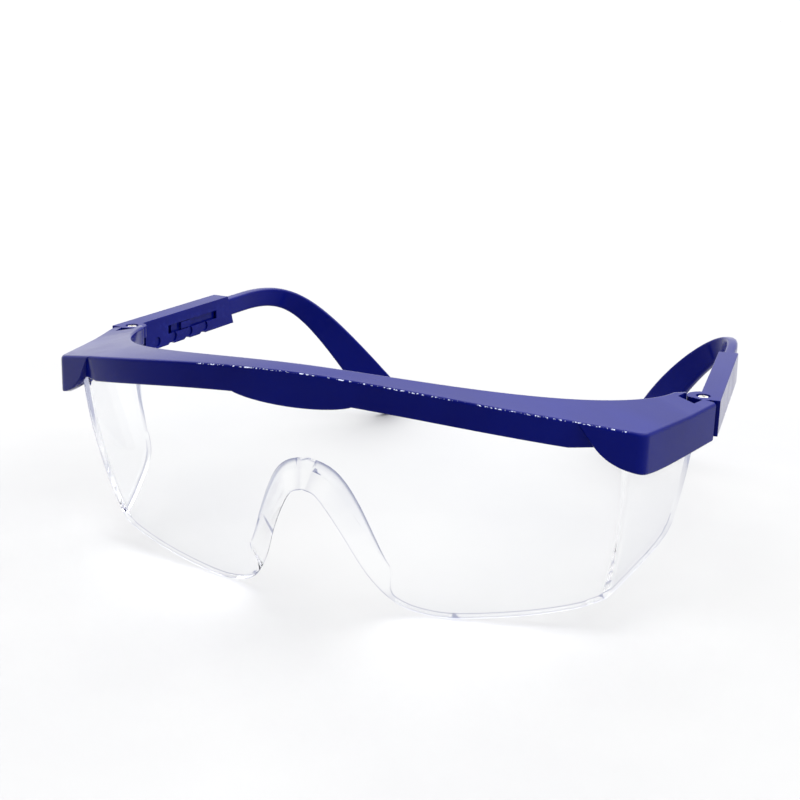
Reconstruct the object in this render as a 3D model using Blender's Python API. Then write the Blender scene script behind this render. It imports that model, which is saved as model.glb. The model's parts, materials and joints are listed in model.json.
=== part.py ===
"""Safety glasses: blue brow frame, clear wrap-round lens, two hinged temples of adjustable length.

Units are metres.  Y points from the front of the glasses to the ears, X to the side named "right"
here (the wearer's left), Z up.  The glasses stand on a table at Z = 0.
Run with:  blender --background --python part.py
"""
import math

import bmesh
import bpy
from mathutils import Matrix, Vector

mm = 0.001

# ---- overall shape of the brow frame ----
BROW_FRONT_Y = -79.7 * mm        # foremost ridge, at the middle of the brow
BROW_END_TOP = 47.6 * mm         # height of the flat top at both ends
BROW_RISE = 10.7 * mm            # how much higher the middle stands
BROW_RISE_SPAN = 74.5 * mm       # half-width over which the top is arched
BROW_RISE_POWER = 1.15
FRONT_SWEEP = 13.7 * mm          # how far the ridge has swept back at FRONT_SWEEP_X
FRONT_SWEEP_X = 56.0 * mm
FRONT_SWEEP_POWER = 2.55

FASCIA_HEIGHT = 6.0 * mm         # front strip of the brow
FASCIA_LEAN = 0.2                # its lower edge leans back by this much of its height
DIP_DEPTH = 2.1 * mm             # deeper middle of the front strip, over the nose
DIP_HALF_WIDTH = 13.5 * mm
DIP_POWER = 0.8
BROW_WALL = 1.7 * mm
BROW_PLATE = 2.2 * mm
LIP_HEIGHT = 2.6 * mm            # turned-down rear edge of the top plate
LIP_WALL = 1.1 * mm
BROW_CHAMFER = 0.5 * mm

# ---- end wings, which wrap round the corners and become the side walls ----
WING_TOP_X = 56.6 * mm           # the slanted step between front strip and wing
WING_BOTTOM_X = 60.4 * mm
WING_START = Vector((60.5 * mm, -63.5 * mm))
WING_CORNER = Vector((69.3 * mm, -58.46 * mm))
WING_CORNER_RADIUS = 4.5 * mm
WALL_SLOPE = 0.235               # side walls spread by this much for each unit of length
WALL_END = Vector((77.45 * mm, -23.7 * mm))
WING_BOTTOM = 38.7 * mm          # lower edge of the wall
WING_BOTTOM_DROP = 6.9 * mm      # extra height of that edge where the wing starts
WING_BOTTOM_LENGTH = 6.0 * mm
WING_SLANT_LENGTH = 9.0 * mm
WING_STEP_WIDTH = 0.3 * mm       # sideways run of the step itself
FRONT_STEPS = 12                 # sections between the dip and the wing
DIP_SHARES = (0.0, 0.25, 0.5, 0.7, 0.85, 0.95, 1.0)
WING_SHARES = (0.0, 0.04, 0.09, 0.14, 0.19, 0.23, 0.26, 0.29, 0.32, 0.35, 0.4, 0.5, 0.62, 0.75, 0.88, 1.0)

# ---- rear edge of the top plate ----
PLATE_REAR_Y = -72.5 * mm
PLATE_REAR_X = 68.2 * mm
PLATE_REAR_DEPTH = 51.5 * mm
PLATE_REAR_POWER = 2.4
PLATE_REAR_ROUNDING = 1.48
PLATE_REAR_STEPS = 40
PLATE_REAR_SHARE = 0.9975        # the curve stops this far along, where it turns straight back
PLATE_REAR_END_Y = -23.5 * mm    # from here a straight edge runs to the gusset tip
GUSSET_TIP = Vector((69.6 * mm, -21.0 * mm))

# ---- hinges ----
HINGE = Vector((73.9 * mm, -19.7 * mm))
TOE_IN = math.radians(3.97)      # both temples point inwards by this angle
LUG_RADIUS = 2.8 * mm
LUG_BOTTOM = 41.5 * mm
LUG_TOP = 44.5 * mm
NECK_HALF_WIDTH = 2.6 * mm
END_BLOCK_INNER_X = 71.0 * mm
END_BLOCK_OUTER_X = 76.0 * mm     # inside the thickness of the side wall
END_BLOCK_FRONT_Y = -28.5 * mm
END_BLOCK_LIFT = 0.2 * mm        # the block starts this far above the wall's lower edge
TAIL_INNER_X = 73.3 * mm         # outside of this X nothing reaches behind WALL_END
LUG_TOP_STEP = 0.01 * mm         # neck and lug stay this much below the end block
NOTCH_OUTLINE = (
    (69.4, -26.2), (70.1, -22.3), (70.6, -21.95), (70.36, -21.6), (70.15, -21.2), (70.0, -20.8),
    (69.8, -15.0), (75.0, -15.0), (74.6, -23.6), (73.4, -28.3),
)
FORK_CLEARANCE = 0.3 * mm
LUG_GAP = 0.35 * mm
KNUCKLE_RADIUS = 3.7 * mm
KNUCKLE_FLAT_DISTANCE = 3.1 * mm
KNUCKLE_FLAT_NORMAL = Vector((-0.447, -0.894))
SCREW_RADIUS = 0.7 * mm
SCREW_HOLE_RADIUS = 1.0 * mm
SCREW_HEAD_RADIUS = 1.25 * mm
SCREW_HEAD_HEIGHT = 1.15 * mm
SCREW_END_INSET = 0.4 * mm       # the shank stops this far above the housing's underside
SCREW_SEAT_GAP = 0.2 * mm
RECESS_RADIUS = 1.65 * mm
RECESS_DEPTH = 1.5 * mm
HOLE_SEGMENTS = 20
CUTTER_BOTTOM = 30.0 * mm        # heights and reach of the tools that cut right through
CUTTER_TOP = 55.0 * mm
CUTTER_REACH = 8.0 * mm

# ---- temple housings (in a frame at the hinge axis, Y along the temple, X outwards) ----
HOUSING_INNER_X = -0.75 * mm
HOUSING_OUTER_X = 4.1 * mm
HOUSING_BOTTOM = 39.5 * mm
HOUSING_TOP = 47.8 * mm
HOUSING_FRONT_Y = -3.0 * mm
HOUSING_REAR_TOP_Y = 45.1 * mm
HOUSING_REAR_BOTTOM_Y = 48.0 * mm
CHEEK_INNER_X = 1.6 * mm
CAVITY_FRONT_Y = 8.0 * mm
SLOT_START_Y = 15.2 * mm
SLOT_END_Y = 38.9 * mm
SLOT_CENTRE_Z = 43.7 * mm
SLOT_HEIGHT = 2.3 * mm
DIMPLE_START_Y = 10.2 * mm
DIMPLE_PITCH = 7.6 * mm
DIMPLE_COUNT = 4
DIMPLE_RADIUS = 1.3 * mm
DIMPLE_DEPTH = 0.35 * mm
DIMPLE_Z = 41.4 * mm
SCALLOP_START_Y = 16.6 * mm
SCALLOP_COUNT = 3
SCALLOP_RADIUS = 2.2 * mm
SCALLOP_DEPTH = 0.6 * mm

# ---- temple arms (same frame) ----
ARM_THICKNESS = 2.8 * mm
ARM_CENTRE_X = 1.5 * mm
ARM_CENTRE_Z = 44.1 * mm
ARM_HEIGHT = 5.3 * mm
EAR_HEIGHT = 11.2 * mm
ARM_FRONT_Y = 17.7 * mm
ARM_STRAIGHT_END_Y = 56.5 * mm
ARM_CLEARANCE = 0.3 * mm
ARM_CHAMFER = 0.6 * mm
EAR_CURVE = (                    # control points of the ear bend after the straight stretch
    Vector((1.5 * mm, 86.7 * mm, 44.1 * mm)),
    Vector((-11.54 * mm, 78.75 * mm, 37.7 * mm)),
    Vector((-24.18 * mm, 96.96 * mm, 11.2 * mm)),
)
EAR_TIP = Vector((-27.5 * mm, 104.2 * mm, 4.4 * mm))   # where the arm ends
EAR_STATIONS = 26
TIP_STATIONS = 6
TIP_END_SHARE = 0.18
TIP_ROUNDING = 0.6
PEG_Y = 23.65 * mm
PEG_LENGTH = 4.4 * mm
PEG_HEIGHT = 1.8 * mm
PEG_INSET = 0.15 * mm
PEG_ROOT = 0.4 * mm              # how deep the peg is let into the arm

# ---- lens ----
LENS_THICKNESS = 2.0 * mm
LENS_FRONT_Y = -76.0 * mm
LENS_LEAN_Z = 50.0 * mm          # height from which the lens leans and curves back
LENS_LEAN = 0.13
LENS_BOW = 3.8                   # backward curve in height, per metre
LENS_WRAP = 4.4                  # backward curve in width, per metre
FOLD_X = 65.1 * mm               # where the front turns into the side shields
FOLD_TAPER = 3.7                 # the folds draw together towards the bottom
FOLD_TAPER_Z = 41.0 * mm
FOLD_ROUNDING = 2.6 * mm
LENS_TOP_CLEARANCE = 0.4 * mm
LENS_ROWS = 7
FOLD_STATIONS = 5
FOLD_EDGE_RISE = 0.25            # rise of the lower edge round the fold
LOBE_OUTLINE = (                 # lower edge from the nose to the fold: X, Z in millimetres
    (0.0, 30.4), (2.9, 29.1), (6.0, 24.0), (8.6, 18.4), (10.9, 12.8), (12.8, 9.0), (15.6, 4.9),
    (19.5, 1.8), (25.0, 0.3), (31.0, 0.2), (44.0, 1.9), (54.0, 4.0), (60.6, 6.3),
)
LOBE_STEPS = 3                   # stations between two outline points
SHIELD_OUTLINE = (               # distance past the fold and Z: bottom edge, then top edge
    (5.1, 7.4, 7.0, 45.1), (9.9, 8.6, 13.0, 45.1), (14.5, 9.9, 19.0, 45.1),
    (19.3, 11.3, 25.0, 45.1), (22.5, 12.4, 27.9, 38.2), (25.2, 13.6, 30.5, 38.15),
    (27.4, 15.1, 32.5, 38.1), (28.9, 17.1, 33.8, 38.05), (29.7, 19.6, 34.4, 38.0),
)
SHIELD_DIRECTION = Vector((0.2288, 0.9735))
FLANGE_WIDTH = 5.2 * mm          # nose flange, flared outwards and backwards from the cut-out
FLANGE_DEPTH = 5.0 * mm
FLANGE_WALL = 1.4 * mm
FLANGE_WIDTH_FADE = (13.0 * mm, 18.5 * mm)
FLANGE_DEPTH_FADE = (4.0 * mm, 15.0 * mm)
EDGE_STEP = 0.2 * mm             # spacing of section points where the flange has faded out

# ---- how the glasses lie on the table ----
STAND_TILT = math.radians(1.06)
STAND_PIVOT_Y = -55.5 * mm
STAND_SHIFT_Y = -2.7 * mm


def clear_scene():
    """Remove whatever the scene holds."""
    for existing in list(bpy.data.objects):
        bpy.data.objects.remove(existing, do_unlink=True)


def make_material(name, colour, roughness, metallic=0.0, alpha=1.0):
    """A plain Principled material."""
    material = bpy.data.materials.new(name)
    material.use_nodes = True
    shader = material.node_tree.nodes["Principled BSDF"]
    shader.inputs["Base Color"].default_value = (*colour, 1.0)
    shader.inputs["Roughness"].default_value = roughness
    shader.inputs["Metallic"].default_value = metallic
    shader.inputs["Alpha"].default_value = alpha
    return material


def object_from_bmesh(name, bm, material=None):
    """Turn a bmesh into a named object with outward faces."""
    bmesh.ops.recalc_face_normals(bm, faces=bm.faces)
    mesh = bpy.data.meshes.new(name)
    bm.to_mesh(mesh)
    bm.free()
    obj = bpy.data.objects.new(name, mesh)
    bpy.context.collection.objects.link(obj)
    if material:
        mesh.materials.append(material)
    return obj


def loft(name, loops, material=None):
    """Skin a row of closed loops with the same number of points and cap both ends."""
    bm = bmesh.new()
    rings = [[bm.verts.new(point) for point in loop] for loop in loops]
    for ring, following in zip(rings, rings[1:]):
        for index in range(len(ring)):
            after = (index + 1) % len(ring)
            bm.faces.new((ring[index], ring[after], following[after], following[index]))
    bm.faces.new(rings[0])
    bm.faces.new(rings[-1])
    return object_from_bmesh(name, bm, material)


def prism(name, outline, bottom, top, material=None):
    """An upright prism over a plan outline."""
    loops = [[Vector((x, y, z)) for x, y in outline] for z in (bottom, top)]
    return loft(name, loops, material)


def box(name, low, high, material=None):
    """A box between two corners."""
    outline = ((low[0], low[1]), (high[0], low[1]), (high[0], high[1]), (low[0], high[1]))
    return prism(name, outline, low[2], high[2], material)


def upright_cylinder(name, centre, radius, bottom, top, segments=32):
    """A vertical cylinder."""
    turn = 2.0 * math.pi / segments
    outline = [
        (centre[0] + radius * math.cos(turn * i), centre[1] + radius * math.sin(turn * i))
        for i in range(segments)
    ]
    return prism(name, outline, bottom, top)


def cross_cylinder(name, side, y, z, radius, x_range, segments=20):
    """A cylinder that lies across a temple, along its local X."""
    turn = 2.0 * math.pi / segments
    loops = [
        [
            Vector((side * x, y + radius * math.cos(turn * i), z + radius * math.sin(turn * i)))
            for i in range(segments)
        ]
        for x in x_range
    ]
    return loft(name, loops)


def combine(target, tool, operation):
    """Boolean with a helper object that stays hidden."""
    modifier = target.modifiers.new(tool.name, "BOOLEAN")
    modifier.operation = operation
    modifier.solver = "EXACT"
    modifier.object = tool
    tool.hide_render = True
    tool.display_type = "WIRE"


def catmull_rom(points, steps):
    """Points along a smooth curve through the given points."""
    points = [Vector(point) for point in points]
    padded = [2 * points[0] - points[1]] + points + [2 * points[-1] - points[-2]]
    curve = []
    for p0, p1, p2, p3 in zip(padded, padded[1:], padded[2:], padded[3:]):
        for step in range(steps):
            t = step / steps
            curve.append(
                0.5 * (2 * p1 + (p2 - p0) * t + (2 * p0 - 5 * p1 + 4 * p2 - p3) * t * t
                       + (3 * p1 - p0 - 3 * p2 + p3) * t ** 3)
            )
    curve.append(points[-1])
    return curve


def polyline_normals(points):
    """Plan normals, pointing to the right of the direction of travel."""
    normals = []
    for index in range(len(points)):
        before = points[max(index - 1, 0)]
        after = points[min(index + 1, len(points) - 1)]
        direction = (after - before).normalized()
        normals.append(Vector((direction.y, -direction.x)))
    return normals


def resample(points, fractions):
    """Points of a plan polyline at the given fractions of its length."""
    lengths = [0.0]
    for a, b in zip(points, points[1:]):
        lengths.append(lengths[-1] + (b - a).length)
    result = []
    for fraction in fractions:
        target = fraction * lengths[-1]
        index = 0
        while index < len(points) - 2 and lengths[index + 1] < target:
            index += 1
        share = (target - lengths[index]) / (lengths[index + 1] - lengths[index])
        result.append(points[index].lerp(points[index + 1], min(max(share, 0.0), 1.0)))
    return result


# ---------------------------------------------------------------- brow frame

def brow_top(x):
    """Height of the brow's top surface."""
    reach = min(abs(x) / BROW_RISE_SPAN, 1.0)
    return BROW_END_TOP + BROW_RISE * (1.0 - reach * reach) ** BROW_RISE_POWER


def ridge_point(x):
    """Front ridge of the brow in plan."""
    return Vector((x, BROW_FRONT_Y + FRONT_SWEEP * (x / FRONT_SWEEP_X) ** FRONT_SWEEP_POWER))


def wing_path(distance):
    """Plan line of wing and side wall, measured from WING_START."""
    along = (WING_CORNER - WING_START).normalized()
    wall = Vector((WALL_SLOPE, 1.0)).normalized()
    turn = along.angle(wall)
    tangent = WING_CORNER_RADIUS * math.tan(turn / 2)
    first = (WING_CORNER - WING_START).length - tangent
    if distance <= first:
        return WING_START + along * distance
    arc = WING_CORNER_RADIUS * turn
    start = WING_START + along * first
    inward = Vector((-along.y, along.x))
    if distance <= first + arc:
        angle = (distance - first) / WING_CORNER_RADIUS
        centre = start + inward * WING_CORNER_RADIUS
        return centre - inward * WING_CORNER_RADIUS * math.cos(angle) \
            + along * WING_CORNER_RADIUS * math.sin(angle)
    return WING_CORNER + wall * (tangent + distance - first - arc)


def wing_distance_at(x):
    """Distance along wing_path of the point with this X, on its straight front stretch."""
    return (x - WING_START.x) / (WING_CORNER - WING_START).normalized().x


def wing_length():
    """Distance along wing_path at which the side wall ends."""
    distance = 0.0
    while wing_path(distance).y < WALL_END.y:
        distance += 0.1 * mm
    return distance


def outer_stations():
    """Top and bottom of the brow's outer face: two plan points and the bottom height, per station."""
    stations = []
    front_xs = [share * DIP_HALF_WIDTH for share in DIP_SHARES]
    spacing = (WING_TOP_X - DIP_HALF_WIDTH) / FRONT_STEPS
    front_xs += [DIP_HALF_WIDTH + spacing * i for i in range(1, FRONT_STEPS)]
    for x in front_xs:
        reach = min(x / DIP_HALF_WIDTH, 1.0)
        height = FASCIA_HEIGHT + DIP_DEPTH * (1.0 - reach * reach) ** DIP_POWER
        ridge = ridge_point(x)
        normal = polyline_normals([ridge_point(max(x - mm, 0.0)), ridge_point(x + mm)])[0]
        stations.append((ridge, ridge - normal * FASCIA_LEAN * height, brow_top(x) - height))
    last_top = ridge_point(WING_TOP_X)
    last_bottom = ridge_point(WING_BOTTOM_X)
    normal = polyline_normals([last_top, last_bottom])[0]
    wing_step_z = WING_BOTTOM + WING_BOTTOM_DROP
    stations.append((last_top, last_bottom - normal * FASCIA_LEAN * FASCIA_HEIGHT, wing_step_z))

    start = wing_distance_at(WING_TOP_X + WING_STEP_WIDTH)
    end = wing_length()
    slant = wing_distance_at(WING_BOTTOM_X + WING_STEP_WIDTH) - start
    for share in WING_SHARES:
        distance = start + (end - start) * share
        lower = distance + slant * max(0.0, 1.0 - (distance - start) / WING_SLANT_LENGTH)
        bottom = WING_BOTTOM + WING_BOTTOM_DROP * math.exp(-max(lower, 0.0) / WING_BOTTOM_LENGTH)
        stations.append((wing_path(distance), wing_path(lower), bottom))
    return stations


def plate_rear_path():
    """Rear edge of the top plate in plan, from the middle to the tip beside the hinge."""
    points = []
    for i in range(PLATE_REAR_STEPS + 1):
        x = PLATE_REAR_X * PLATE_REAR_SHARE * math.sin(0.5 * math.pi * i / PLATE_REAR_STEPS)
        rise = 1.0 - (1.0 - (x / PLATE_REAR_X) ** PLATE_REAR_POWER) ** (1.0 / PLATE_REAR_ROUNDING)
        points.append(Vector((x, PLATE_REAR_Y + PLATE_REAR_DEPTH * rise)))
    while points[-1].y > PLATE_REAR_END_Y:
        points.pop()
    points.append(GUSSET_TIP)
    return points


def brow_section(outer_top, outer_bottom, bottom_z, outer_normal, inner, inner_normal):
    """One closed section of the brow: a channel, open downwards, that holds the lens."""
    top_outer = brow_top(outer_top.x)
    top_inner = brow_top(inner.x)
    share = BROW_PLATE / (top_outer - bottom_z)
    wall_top = outer_top.lerp(outer_bottom, share) - outer_normal * BROW_WALL
    wall_bottom = outer_bottom - outer_normal * BROW_WALL
    lip = inner + inner_normal * LIP_WALL
    rounded = outer_top - outer_normal * BROW_CHAMFER
    inner_rounded = inner + inner_normal * BROW_CHAMFER
    plan_and_height = (
        (rounded, top_outer),
        (outer_top, top_outer - BROW_CHAMFER),
        (outer_bottom, bottom_z),
        (wall_bottom, bottom_z),
        (wall_top, top_outer - BROW_PLATE),
        (lip, top_inner - BROW_PLATE),
        (lip, top_inner - BROW_PLATE - LIP_HEIGHT),
        (inner, top_inner - BROW_PLATE - LIP_HEIGHT),
        (inner, top_inner - BROW_CHAMFER),
        (inner_rounded, top_inner),
    )
    return [Vector((point.x, point.y, height)) for point, height in plan_and_height]


def mirrored(loop):
    """The same loop on the other side of the glasses."""
    return [Vector((-point.x, point.y, point.z)) for point in loop]


def brow_channel(material):
    """The lofted body of the brow frame from one end to the other."""
    stations = outer_stations()
    tops = [station[0] for station in stations]
    normals = polyline_normals(tops)
    normals[0] = Vector((0.0, -1.0))
    lengths = [0.0]
    for a, b in zip(tops, tops[1:]):
        lengths.append(lengths[-1] + (b - a).length)
    fractions = [length / lengths[-1] for length in lengths]
    inners = resample(plate_rear_path(), fractions)
    inner_normals = polyline_normals(inners)
    inner_normals[0] = Vector((0.0, -1.0))
    half = [
        brow_section(station[0], station[1], station[2], normal, inner, inner_normal)
        for station, normal, inner, inner_normal in zip(stations, normals, inners, inner_normals)
    ]
    loops = [mirrored(loop) for loop in reversed(half[1:])] + half
    return loft("brow_frame", loops, material)


def sided(outline, side):
    """A plan outline in millimetres, moved to one side of the glasses, in metres."""
    return [(side * x * mm, y * mm) for x, y in outline]


def cut_hinge_ends(frame, side):
    """Open the plate beside the hinge and square off the wall's rear end."""
    label = "left" if side < 0 else "right"
    notch = prism(f"notch_cutter_{label}", sided(NOTCH_OUTLINE, side), LUG_TOP, CUTTER_TOP)
    combine(frame, notch, "DIFFERENCE")
    low_x, high_x = sorted((side * TAIL_INNER_X, side * (WALL_END.x + CUTTER_REACH)))
    tail = box(
        f"tail_cutter_{label}",
        (low_x, WALL_END.y, CUTTER_BOTTOM),
        (high_x, WALL_END.y + CUTTER_REACH, CUTTER_TOP),
    )
    combine(frame, tail, "DIFFERENCE")


def add_hinge_lug(frame, side):
    """Solid end block with the lug that the hinge screw passes through."""
    label = "left" if side < 0 else "right"
    low_x, high_x = sorted((side * END_BLOCK_INNER_X, side * END_BLOCK_OUTER_X))
    block = box(
        f"end_block_{label}",
        (low_x, END_BLOCK_FRONT_Y, WING_BOTTOM + END_BLOCK_LIFT),
        (high_x, WALL_END.y, LUG_TOP),
    )
    combine(frame, block, "UNION")
    low_x, high_x = sorted((side * (HINGE.x - NECK_HALF_WIDTH), side * (HINGE.x + NECK_HALF_WIDTH)))
    neck = box(
        f"lug_neck_{label}",
        (low_x, END_BLOCK_FRONT_Y + mm, LUG_BOTTOM),
        (high_x, HINGE.y, LUG_TOP - LUG_TOP_STEP),
    )
    combine(frame, neck, "UNION")
    centre = (side * HINGE.x, HINGE.y)
    top = LUG_TOP - LUG_TOP_STEP
    lug = upright_cylinder(f"lug_round_{label}", centre, LUG_RADIUS, LUG_BOTTOM, top)
    combine(frame, lug, "UNION")
    hole = upright_cylinder(
        f"lug_hole_{label}", centre, SCREW_HOLE_RADIUS, CUTTER_BOTTOM, CUTTER_TOP, HOLE_SEGMENTS
    )
    combine(frame, hole, "DIFFERENCE")


def build_brow_frame(material):
    """Brow frame with both hinge ends."""
    frame = brow_channel(material)
    for side in (-1, 1):
        cut_hinge_ends(frame, side)
        add_hinge_lug(frame, side)
    return frame


# ---------------------------------------------------------------- lens

def lens_front_y(x, z):
    """Front surface of the lens."""
    drop = LENS_LEAN_Z - z
    return LENS_FRONT_Y + LENS_LEAN * drop + LENS_BOW * drop * drop + LENS_WRAP * x * x


def fold_x(z):
    """X of the fold between front and shield at a height."""
    return FOLD_X - FOLD_TAPER * max(0.0, FOLD_TAPER_Z - z) ** 2


def lens_point(w, z):
    """Outer surface: w runs from the middle to FOLD_X at the fold and on along the shield."""
    fold = fold_x(z)
    past = w - FOLD_X
    corner = Vector((fold, lens_front_y(fold, z), z))
    shield = Vector((SHIELD_DIRECTION.x, SHIELD_DIRECTION.y, 0.0))
    if past >= FOLD_ROUNDING:
        return corner + shield * past
    inner_x = fold * min(w, FOLD_X - FOLD_ROUNDING) / FOLD_X
    start = Vector((inner_x, lens_front_y(inner_x, z), z))
    if past <= -FOLD_ROUNDING:
        return start
    end = corner + shield * FOLD_ROUNDING
    t = (past + FOLD_ROUNDING) / (2 * FOLD_ROUNDING)
    return start * (1 - t) ** 2 + corner * 2 * t * (1 - t) + end * t * t


def lens_solid_point(position, depth):
    """A point this deep behind the outer surface."""
    step = 0.05 * mm
    across = lens_point(position.x + step, position.y) - lens_point(position.x - step, position.y)
    upward = lens_point(position.x, position.y + step) - lens_point(position.x, position.y - step)
    inward = upward.cross(across).normalized()
    return lens_point(position.x, position.y) + inward * depth


def lens_columns():
    """Bottom and top of each column of the lens, as (w, z)."""
    columns = []
    for point in catmull_rom(LOBE_OUTLINE, LOBE_STEPS):
        x, z = point * mm
        w = x * FOLD_X / fold_x(z)
        if w < FOLD_X - FOLD_ROUNDING - mm:
            top_z = brow_top(w) - BROW_PLATE - LENS_TOP_CLEARANCE
            columns.append((Vector((w, z)), Vector((w, top_z))))
    top_z = SHIELD_OUTLINE[0][3] * mm
    for i in range(FOLD_STATIONS):
        past = FOLD_ROUNDING * (2 * i / (FOLD_STATIONS - 1) - 1.0)
        low_z = (LOBE_OUTLINE[-1][1] + FOLD_EDGE_RISE * past / mm) * mm
        columns.append((Vector((FOLD_X + past, low_z)), Vector((FOLD_X + past, top_z))))
    for low_past, low_z, top_past, top_z in SHIELD_OUTLINE:
        low = Vector((FOLD_X + low_past * mm, low_z * mm))
        columns.append((low, Vector((FOLD_X + top_past * mm, top_z * mm))))
    return columns


def fade(value, span):
    """1 before the span, 0 after it, smooth between."""
    share = min(max((value - span[0]) / (span[1] - span[0]), 0.0), 1.0)
    return 1.0 - share * share * (3.0 - 2.0 * share)


def lens_section(bottom, top, normal, least_w):
    """One closed section (front column, nose flange or edge, rear column) and its rear foot."""
    flare = fade(bottom.x, FLANGE_DEPTH_FADE)
    width = FLANGE_WIDTH * fade(bottom.x, FLANGE_WIDTH_FADE)
    rim = Vector((width, LENS_THICKNESS + (FLANGE_DEPTH - LENS_THICKNESS) * flare))
    slope = rim.normalized()
    square = Vector((slope.y, -slope.x))
    spacing = Vector((EDGE_STEP * (1.0 - flare), 0.0))
    rim_upper = rim + square * FLANGE_WALL * flare + spacing
    join = rim_upper - slope * max((rim_upper.y - LENS_THICKNESS) / slope.y, 0.0) + 2 * spacing
    rows = [bottom.lerp(top, i / LENS_ROWS) for i in range(LENS_ROWS, -1, -1)]
    loop = [lens_solid_point(row, 0.0) for row in rows]
    for offset in (rim / 2, rim, rim_upper):
        loop.append(lens_solid_point(bottom + normal * offset.x, offset.y))
    low = bottom + normal * join.x
    low.x = max(low.x, least_w)
    rear = [low.lerp(top, i / LENS_ROWS) for i in range(LENS_ROWS + 1)]
    loop += [lens_solid_point(row, LENS_THICKNESS) for row in rear]
    return loop, low.x


def build_lens(material):
    """One-piece lens with side shields and nose bridge."""
    columns = lens_columns()
    bottoms = [column[0] for column in columns]
    normals = [-normal for normal in polyline_normals(bottoms)]
    normals[0] = Vector((0.0, 1.0))
    half = []
    foot = 0.0
    for (bottom, top), normal in zip(columns, normals):
        loop, foot = lens_section(bottom, top, normal, foot)
        foot += EDGE_STEP
        half.append(loop)
    loops = [mirrored(loop) for loop in reversed(half[1:])] + half
    lens = loft("lens", loops, material)
    lens.data.shade_smooth()
    return lens


# ---------------------------------------------------------------- temples

def arc_points(radius, start, end, steps):
    """Plan points on an arc round the hinge axis; angles in degrees."""
    turns = [math.radians(start + (end - start) * i / steps) for i in range(steps + 1)]
    return [Vector((radius * math.cos(turn), radius * math.sin(turn))) for turn in turns]


def housing_outline(rear_y):
    """Plan outline of the sleeve: round knuckle with a flat, outer cheek, two long sides."""
    knuckle_start = math.degrees(math.acos(HOUSING_INNER_X / KNUCKLE_RADIUS))
    knuckle_end = 360.0 - math.degrees(math.acos(CHEEK_INNER_X / KNUCKLE_RADIUS))
    outline = [Vector((HOUSING_INNER_X, rear_y))]
    for point in arc_points(KNUCKLE_RADIUS, knuckle_start, knuckle_end, 16):
        beyond = max(point.dot(KNUCKLE_FLAT_NORMAL) - KNUCKLE_FLAT_DISTANCE, 0.0)
        outline.append(point - KNUCKLE_FLAT_NORMAL * beyond)
    outline.append(Vector((CHEEK_INNER_X, HOUSING_FRONT_Y)))
    outline.append(Vector((HOUSING_OUTER_X, HOUSING_FRONT_Y)))
    outline.append(Vector((HOUSING_OUTER_X, rear_y)))
    return outline


def lug_gap_outline():
    """Plan outline of the space that the frame's lug swings in."""
    radius = LUG_RADIUS + LUG_GAP
    corners = [Vector((-CUTTER_REACH, -CUTTER_REACH)), Vector((radius, -CUTTER_REACH))]
    return corners + arc_points(radius, 0.0, 90.0, 8) + [Vector((-CUTTER_REACH, radius))]


def build_housing(side, material):
    """Sleeve with a forked knuckle; its origin is on the hinge axis."""
    label = "left" if side < 0 else "right"
    loops = [
        [Vector((side * point.x, point.y, z)) for point in housing_outline(rear_y)]
        for rear_y, z in ((HOUSING_REAR_BOTTOM_Y, HOUSING_BOTTOM), (HOUSING_REAR_TOP_Y, HOUSING_TOP))
    ]
    housing = loft(f"temple_housing_{label}", loops, material)

    gap = prism(
        f"lug_gap_{label}",
        [(side * point.x, point.y) for point in lug_gap_outline()],
        LUG_BOTTOM - FORK_CLEARANCE,
        LUG_TOP + FORK_CLEARANCE,
    )
    low_x, high_x = sorted((side * (HOUSING_INNER_X - mm), side * ARM_CENTRE_X))
    slot = box(
        f"peg_slot_{label}",
        (low_x, SLOT_START_Y, SLOT_CENTRE_Z - SLOT_HEIGHT / 2),
        (high_x, SLOT_END_Y, SLOT_CENTRE_Z + SLOT_HEIGHT / 2),
    )
    recess = upright_cylinder(
        f"screw_recess_{label}", (0, 0), RECESS_RADIUS, HOUSING_TOP - RECESS_DEPTH, HOUSING_TOP + mm, 24
    )
    hole = upright_cylinder(
        f"screw_hole_{label}", (0, 0), SCREW_HOLE_RADIUS, CUTTER_BOTTOM, CUTTER_TOP, HOLE_SEGMENTS
    )
    tools = [gap, box_for_arm(f"arm_cavity_{label}", side), slot, recess, hole]
    for i in range(DIMPLE_COUNT):
        tools.append(cross_cylinder(
            f"dimple_{label}_{i}", side, DIMPLE_START_Y + i * DIMPLE_PITCH, DIMPLE_Z, DIMPLE_RADIUS,
            (HOUSING_INNER_X - mm, HOUSING_INNER_X + DIMPLE_DEPTH),
        ))
    for i in range(SCALLOP_COUNT):
        tools.append(cross_cylinder(
            f"scallop_{label}_{i}", side, SCALLOP_START_Y + i * DIMPLE_PITCH,
            HOUSING_BOTTOM + SCALLOP_DEPTH - SCALLOP_RADIUS,
            SCALLOP_RADIUS, (HOUSING_INNER_X - mm, HOUSING_OUTER_X + mm),
        ))
    for tool in tools:
        tool.parent = housing
        combine(housing, tool, "DIFFERENCE")
    housing.location = (side * HINGE.x, HINGE.y, 0.0)
    housing.rotation_euler.z = side * TOE_IN
    return housing


def box_for_arm(name, side):
    """The space inside the sleeve that the arm slides in, open at the rear."""
    half_width = ARM_THICKNESS / 2 + ARM_CLEARANCE
    half_height = ARM_HEIGHT / 2 + ARM_CLEARANCE
    low_x, high_x = sorted((side * (ARM_CENTRE_X - half_width), side * (ARM_CENTRE_X + half_width)))
    return box(
        name,
        (low_x, CAVITY_FRONT_Y, ARM_CENTRE_Z - half_height),
        (high_x, HOUSING_REAR_BOTTOM_Y + CUTTER_REACH, ARM_CENTRE_Z + half_height),
    )


def bezier(points, t):
    """A point of a cubic Bezier curve."""
    a, b, c, d = points
    s = 1.0 - t
    return a * s ** 3 + b * 3 * s * s * t + c * 3 * s * t * t + d * t ** 3


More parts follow.
